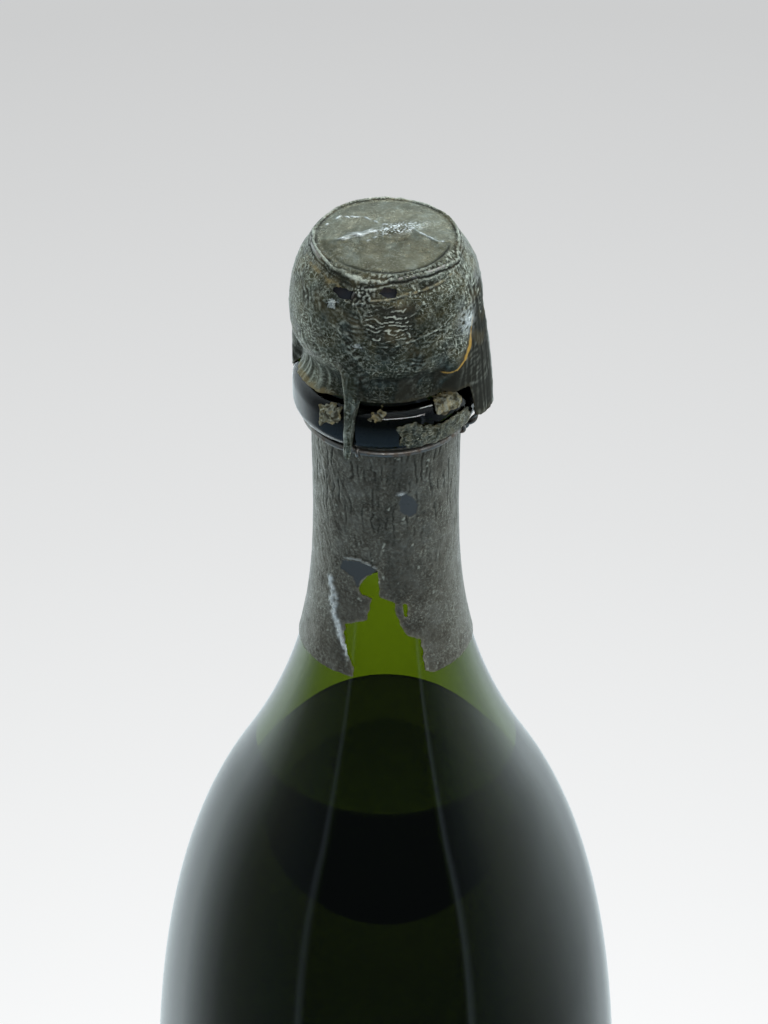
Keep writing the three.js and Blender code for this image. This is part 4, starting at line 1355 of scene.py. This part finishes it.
def sleeve_form(points, u, v):
    x, y, z = np.moveaxis(points, -1, 0)
    height = z - SLEEVE_FOOT
    front = y < 0
    azimuth = azimuth_of(u)
    facing = bell(azimuth, 0, 30, 75)
    wander = wandering(points, 2.5, 95)
    bent = points + wander

    # Wrinkles and gathers
    slanted = bent + np.stack([0 * z, 0 * z, 2.2 * np.radians(azimuth) * 13.5], -1)
    left = bell(azimuth, -50, 20, 50) * smoothstep(14, 26, height)
    wrinkles = 0.13 * left * creases(slanted * (0.15, 0.15, 0.32), 81)
    wrinkles = wrinkles + 0.06 * creases(bent * (0.5, 0.5, 0.22), 83)
    grain = 0.045 * creases(bent * (1.1, 1.1, 0.6), 85, 3) * bell(azimuth, -10, 35, 80)
    around = np.radians(azimuth) * NECK_TOP_RADIUS
    turn = around / 1.3 + 0.9 * noise(sheet(0.4 * around, 0.1 * z), 87) + 0.3 * noise(points / 1.5, 79)
    gathers = 1 - smoothstep(0.02, 0.2, to_whole(turn))
    gathers = gathers * smoothstep(-0.1, 0.35, noise(sheet(0.8 * around, 0.2 * z), 78))
    top = smoothstep(20, 44, height + 7 * noise(points / 4, 99))
    gathers = gathers * np.maximum(top, hump((x + 2) / 2) * smoothstep(22, 26, height) * front)
    long_fold = line_glow(WRINKLES, x + 0.6 * wander[..., 0], height, 0.22)
    long_fold = long_fold * front * broken_up(points / 1.5, 86)

    # Torn edges and lost foil
    near = np.maximum(tear_distance(points), 0)
    lip = np.exp(-near / 0.35) * front
    peel_away = line_distance(PEEL, x + 0.5 * wander[..., 1], height) + 0.25 * noise(points / 0.7, 88)
    peel = hump(peel_away / 0.5) * front * smoothstep(-0.6, 0.1, noise(points / 1.4, 92))
    # Painted reflection: a smooth blue-grey patch where the foil is gone, in place of the glass's
    # reflection.
    patch_away = np.min([outline_distance(outline, x, height) for outline in (UPPER_REFLECTION_PATCH, SIDE_REFLECTION_PATCH)], 0)
    patch_away = patch_away + 0.25 * noise(points / 1.1, 93) + 0.15 * noise(points / 0.4, 94)
    film = (1 - smoothstep(-0.1, 0.1, patch_away)) * front
    chip = hump((x - CHIP[0]) / 0.6, (height - CHIP[1]) / 0.35) * front
    rolled = line_glow([ROLLED_EDGE], x, height, 0.3) * front
    flecks = smoothstep(0.72, 0.8, layered(points, (1, 0.9, 96), (0.3, 3, 97))) * facing
    relief = (wrinkles + grain - 0.14 * gathers + 0.08 * long_fold) * (1 - film) - 0.12 * film
    relief = relief + 0.45 * peel * (0.6 + noise(points / 0.6, 90)) + 0.1 * lip * noise(points / 1.5, 89)
    relief = relief + 0.2 * chip + 0.3 * rolled * broken_up(points, 98) + 0.06 * flecks

    # Marks
    worn = ridges_of(relief, 0.05)
    # Painted shade in the hollows of the creases.
    hollow = ridges_of(-relief, 0.06)
    mottle = smoothstep(-0.3, 0.6, noise(points / 3.5, 91))
    high = smoothstep(30, 46, height)
    streak = noise(sheet(0.45 * around, 0.07 * z), 64) + 0.3 * noise(points / 2, 65)
    streak = smoothstep(-0.5, 0.4, streak) * bell(azimuth, 3, 6, 24)
    # Painted shade on the front and towards the top. The streak darkens a band down the front's middle.
    stain_and_shade = 0.18 * facing * mottle + 0.3 * streak + 0.12 * high
    marks = {
        "worn": (0.12 * worn + 0.12 * lip + 0.4 * flecks) * (1 - film),
        "tan": 0.2 * lip * (1 - peel),
        "bare": 1.1 * peel + 0.8 * chip + 0.4 * rolled * worn,
        # Painted shade in the creases and the gathers.
        "dark": np.minimum((stain_and_shade + 0.4 * hollow + 0.4 * gathers) * (1 - film), 0.8),
        "film": film,
    }
    return relief, marks


sleeve = foil("foil_sleeve", sleeve_place, sleeve_keep, sleeve_form, SLEEVE_GRID, wrap=True)
dress(sleeve, NECK_FOIL_LOOK, "bottle", "foil", "foil_neck_sleeve")


# Scraps of foil on the collar


def scrap(name, azimuth, outline, seed, stain):
    """A scrap of foil on the collar, thinner and darker where its stain is below 1."""
    skin = resampled(offset(collar(), -CLING - FOIL), 0.1)
    lengths = np.linspace(0, 1, len(skin))
    reach = max(abs(across) for across, _ in outline) + 0.8
    span = math.degrees(math.asin(reach / COLLAR_RADIUS))

    def place(u, v):
        height = np.interp(v, lengths, skin[:, 1])
        return turned(azimuth + span * (2 * u - 1), np.interp(v, lengths, skin[:, 0]), height)

    def keep(u, v):
        points = place(u, v)
        across = np.hypot(points[..., 0], points[..., 1]) * np.sin(np.radians(span * (2 * u - 1)))
        ragged = layered(points, (0.45, 1.1, seed), (0.25, 0.4, seed + 1))
        height = points[..., 2] - (COLLAR_TOP + COLLAR_BOTTOM) / 2
        return -outline_distance(outline, across, height) + ragged

    def form(points, u, v):
        thin = 0.4 if stain < 1 else 1.0
        large, small = crumple(points + 4, seed + 3, 2.2), crumple(points, seed + 5, 1.0)
        relief = thin * (0.1 + 0.4 * large + 0.2 * small)
        edge = 1 - smoothstep(0, 0.7, keep(u, v))
        pale = smoothstep(0.0, 0.25, layered(points, (1, 1.3, seed + 7), (0.4, 0.5, seed + 8)))
        darkening = smoothstep(-0.05, 0.2, layered(points, (1, 1.2, seed + 9), (0.4, 0.5, seed + 10)))
        marks = {
            "worn": 0.8 * thin * ridges_of(relief, 0.06) + 0.35 * stain * pale,
            "tan": np.minimum(stain * (0.3 + 0.3 * edge + 0.4 * pale) * (1 - 0.7 * darkening), 0.9),
            "dark": 0.5 - 0.45 * stain + 0.8 * darkening * stain,
        }
        return np.maximum(relief, 0.02), marks

    return foil("foil_scrap_" + name, place, keep, form, SCRAP_GRID)


for number, (scrap_name, (azimuth, outline)) in enumerate(SCRAPS.items()):
    stain = 0.35 if scrap_name == "lower" else 1.0
    piece = scrap(scrap_name, azimuth, outline, 101 + 20 * number, stain)
    dress(piece, HEAD_FOIL_LOOK, "bottle", "foil", "foil_collar_scrap_" + scrap_name)


# Floor, light and camera

# Painted light: a pool of light on the floor, brightest near the bottle, as brightness by distance in
# metres. The floor glows with it for camera and transmission rays.
FLOOR_LIGHT_POOL = [(0.166, 0.93), (0.208, 0.888), (0.246, 0.855), (0.365, 0.753), (0.518, 0.651), (0.615, 0.597)]
FLOOR_GLOW = 0.86
FLOOR_STRENGTH = 1.065
FLOOR_HALF = 6


def pale_floor():
    mesh = bpy.data.meshes.new("floor")
    corners = [(x * FLOOR_HALF, y * FLOOR_HALF, 0) for x, y in ((-1, -1), (1, -1), (1, 1), (-1, 1))]
    mesh.from_pydata(corners, [], [(0, 1, 2, 3)])
    floor = bpy.data.objects.new("floor", mesh)
    bpy.context.scene.collection.objects.link(floor)
    look = Look("floor")
    where = look.node("TexCoord").outputs["Object"]
    distance = look.node("VectorMath", {0: where}, operation="LENGTH").outputs["Value"]
    tone = look.ramp(distance, FLOOR_LIGHT_POOL)
    path = look.node("LightPath")
    seen = look.most(path.outputs["Is Camera Ray"], path.outputs["Is Transmission Ray"])
    glow = look.node("Emission", {"Color": tone, "Strength": FLOOR_STRENGTH})
    matt = look.node("BsdfDiffuse", {"Color": tone})
    share = look.times(seen, FLOOR_GLOW)
    both = look.node("MixShader", {0: share, 1: matt.outputs[0], 2: glow.outputs[0]})
    look.feed(look.output.inputs["Surface"], both.outputs[0])
    look.tree.nodes.remove(look.shader)
    mesh.materials.append(look.material)
    floor.visible_glossy = False


# Brightness of the studio at azimuths from the front
STUDIO = [
    (-180, 0.85), (-165, 1.0), (-150, 1.15), (-125, 1.35), (-115, 1.05), (-105, 0.7), (-92, 0.32),
    (-80, 0.2), (-60, 0.13), (-47, 0.1), (-45, 0.32), (-43, 0.26), (-41.5, 0.055), (0, 0.055),
    (40.5, 0.055), (42, 0.42), (44, 0.32), (46, 0.11), (58, 0.19), (78, 0.48), (92, 0.72), (105, 1.05),
    (118, 1.35), (138, 1.75), (155, 1.5), (180, 0.85),
]
# Its change below eye level, in shares of LOW_SCALE
LOW_SCALE = 2.0
STUDIO_LOW = [(-180, 0.5), (-60, 0.5), (-30, 0.6), (30, 0.6), (70, 0.26), (150, 0.28), (180, 0.5)]
STUDIO_TINT = (0.85, 0.97, 1.01)
FRONT_TINT = (0.78, 0.97, 1.15)
FRONT_REACH = 62  # degrees from the front that have this tint
# Glow far below eye level in front, and its share
DEEP_GLOW = (0.19, 0.3, 0.4)
STUDIO_DEEP = [
    (-180, 0.0), (-110, 0.0), (-85, 0.8), (-50, 1.0), (50, 1.0), (85, 0.8), (110, 0.0), (180, 0.0),
]
# Heights of a direction at which these changes and the one to the top's light start and end
LOW_BAND = (-0.2, -0.5)
DEEP_BAND = (-0.51, -0.6)
TOP_BAND = (0.46, 0.95)
STUDIO_TOP = 0.45
STUDIO_BACKDROP = 0.6


def turn_stops(levels):
    """Stops of a ramp over a whole turn, from azimuths and levels."""
    return [((azimuth + 180) / 360, level) for azimuth, level in levels]


def studio():
    look = Look("studio", world=True)
    bpy.context.scene.world = look.material
    where = look.node("SeparateXYZ", {0: look.node("TexCoord").outputs["Generated"]}).outputs
    front = look.times(where["Y"], -1.0)
    turn = look.math("ARCTAN2", where["X"], front)
    share = look.math("MULTIPLY_ADD", turn, 1 / TAU)
    share.node.inputs[2].default_value = 0.5
    peak = max(level for _, level in STUDIO)
    tinted = []
    for azimuth, level in STUDIO:
        tint = FRONT_TINT if abs(azimuth) < FRONT_REACH else STUDIO_TINT
        tinted.append((azimuth, tuple(c * level / peak for c in tint)))
    around = look.mix(1.0, look.ramp(share, turn_stops(tinted)), (peak,) * 3, "MULTIPLY")
    low = look.rise(where["Z"], *LOW_BAND)
    lower = look.mix(1.0, look.ramp(share, turn_stops(STUDIO_LOW)), (LOW_SCALE,) * 3, "MULTIPLY")
    around = look.mix(low, around, lower, "MULTIPLY")
    deep = look.rise(where["Z"], *DEEP_BAND)
    deep = look.times(deep, look.ramp(share, turn_stops(STUDIO_DEEP)))
    around = look.mix(deep, around, DEEP_GLOW)
    high = look.rise(where["Z"], *TOP_BAND)
    light = look.mix(high, around, tuple(c * STUDIO_TOP for c in STUDIO_TINT))
    camera = look.node("LightPath").outputs["Is Camera Ray"]
    look.set(Color=look.mix(camera, light, (STUDIO_BACKDROP,) * 3))


def lamp(name, azimuth, elevation, distance, size, power):
    data = bpy.data.lights.new(name, "AREA")
    data.shape = "RECTANGLE"
    data.size, data.size_y = size
    data.energy = power
    made = bpy.data.objects.new(name, data)
    bpy.context.scene.collection.objects.link(made)
    high = math.radians(elevation)
    target = Vector((0, 0, LIP_TOP * MM))
    away = Vector(turned(azimuth, math.cos(high), math.sin(high)).tolist())
    made.location = target + distance * away
    made.rotation_euler = (-away).to_track_quat("-Z", "Y").to_euler()
    made.visible_transmission = False


CAMERA_ELEVATION = 35.5
CAMERA_DISTANCE = 1100
CAMERA_AIM = (-0.36, 0, 260)
PIXELS_PER_MM = 5.5  # at the aim, in a frame of 768 x 1024
FRAME_HEIGHT = 1024
SENSOR = 36


def photo_camera():
    data = bpy.data.cameras.new("camera")
    data.sensor_fit = "VERTICAL"
    data.sensor_height = SENSOR
    data.sensor_width = SENSOR
    data.lens = PIXELS_PER_MM * CAMERA_DISTANCE / FRAME_HEIGHT * SENSOR
    data.clip_start, data.clip_end = 0.05, 30
    made = bpy.data.objects.new("camera", data)
    bpy.context.scene.collection.objects.link(made)
    high = math.radians(CAMERA_ELEVATION)
    back = Vector((0, -math.cos(high), math.sin(high)))
    made.location = (Vector(CAMERA_AIM) + CAMERA_DISTANCE * back) * MM
    made.rotation_euler = (-back).to_track_quat("-Z", "Y").to_euler()
    bpy.context.scene.camera = made


pale_floor()
studio()
lamp("back_lamp", azimuth=172, elevation=42, distance=1.6, size=(0.5, 0.3), power=2.4)
lamp("top_strip", azimuth=90, elevation=70, distance=1.4, size=(0.1, 1.4), power=6.0)
lamp("front_strip", azimuth=16, elevation=33, distance=1.4, size=(1.5, 0.15), power=5.0)
photo_camera()
bpy.context.scene.view_settings.view_transform = "Standard"
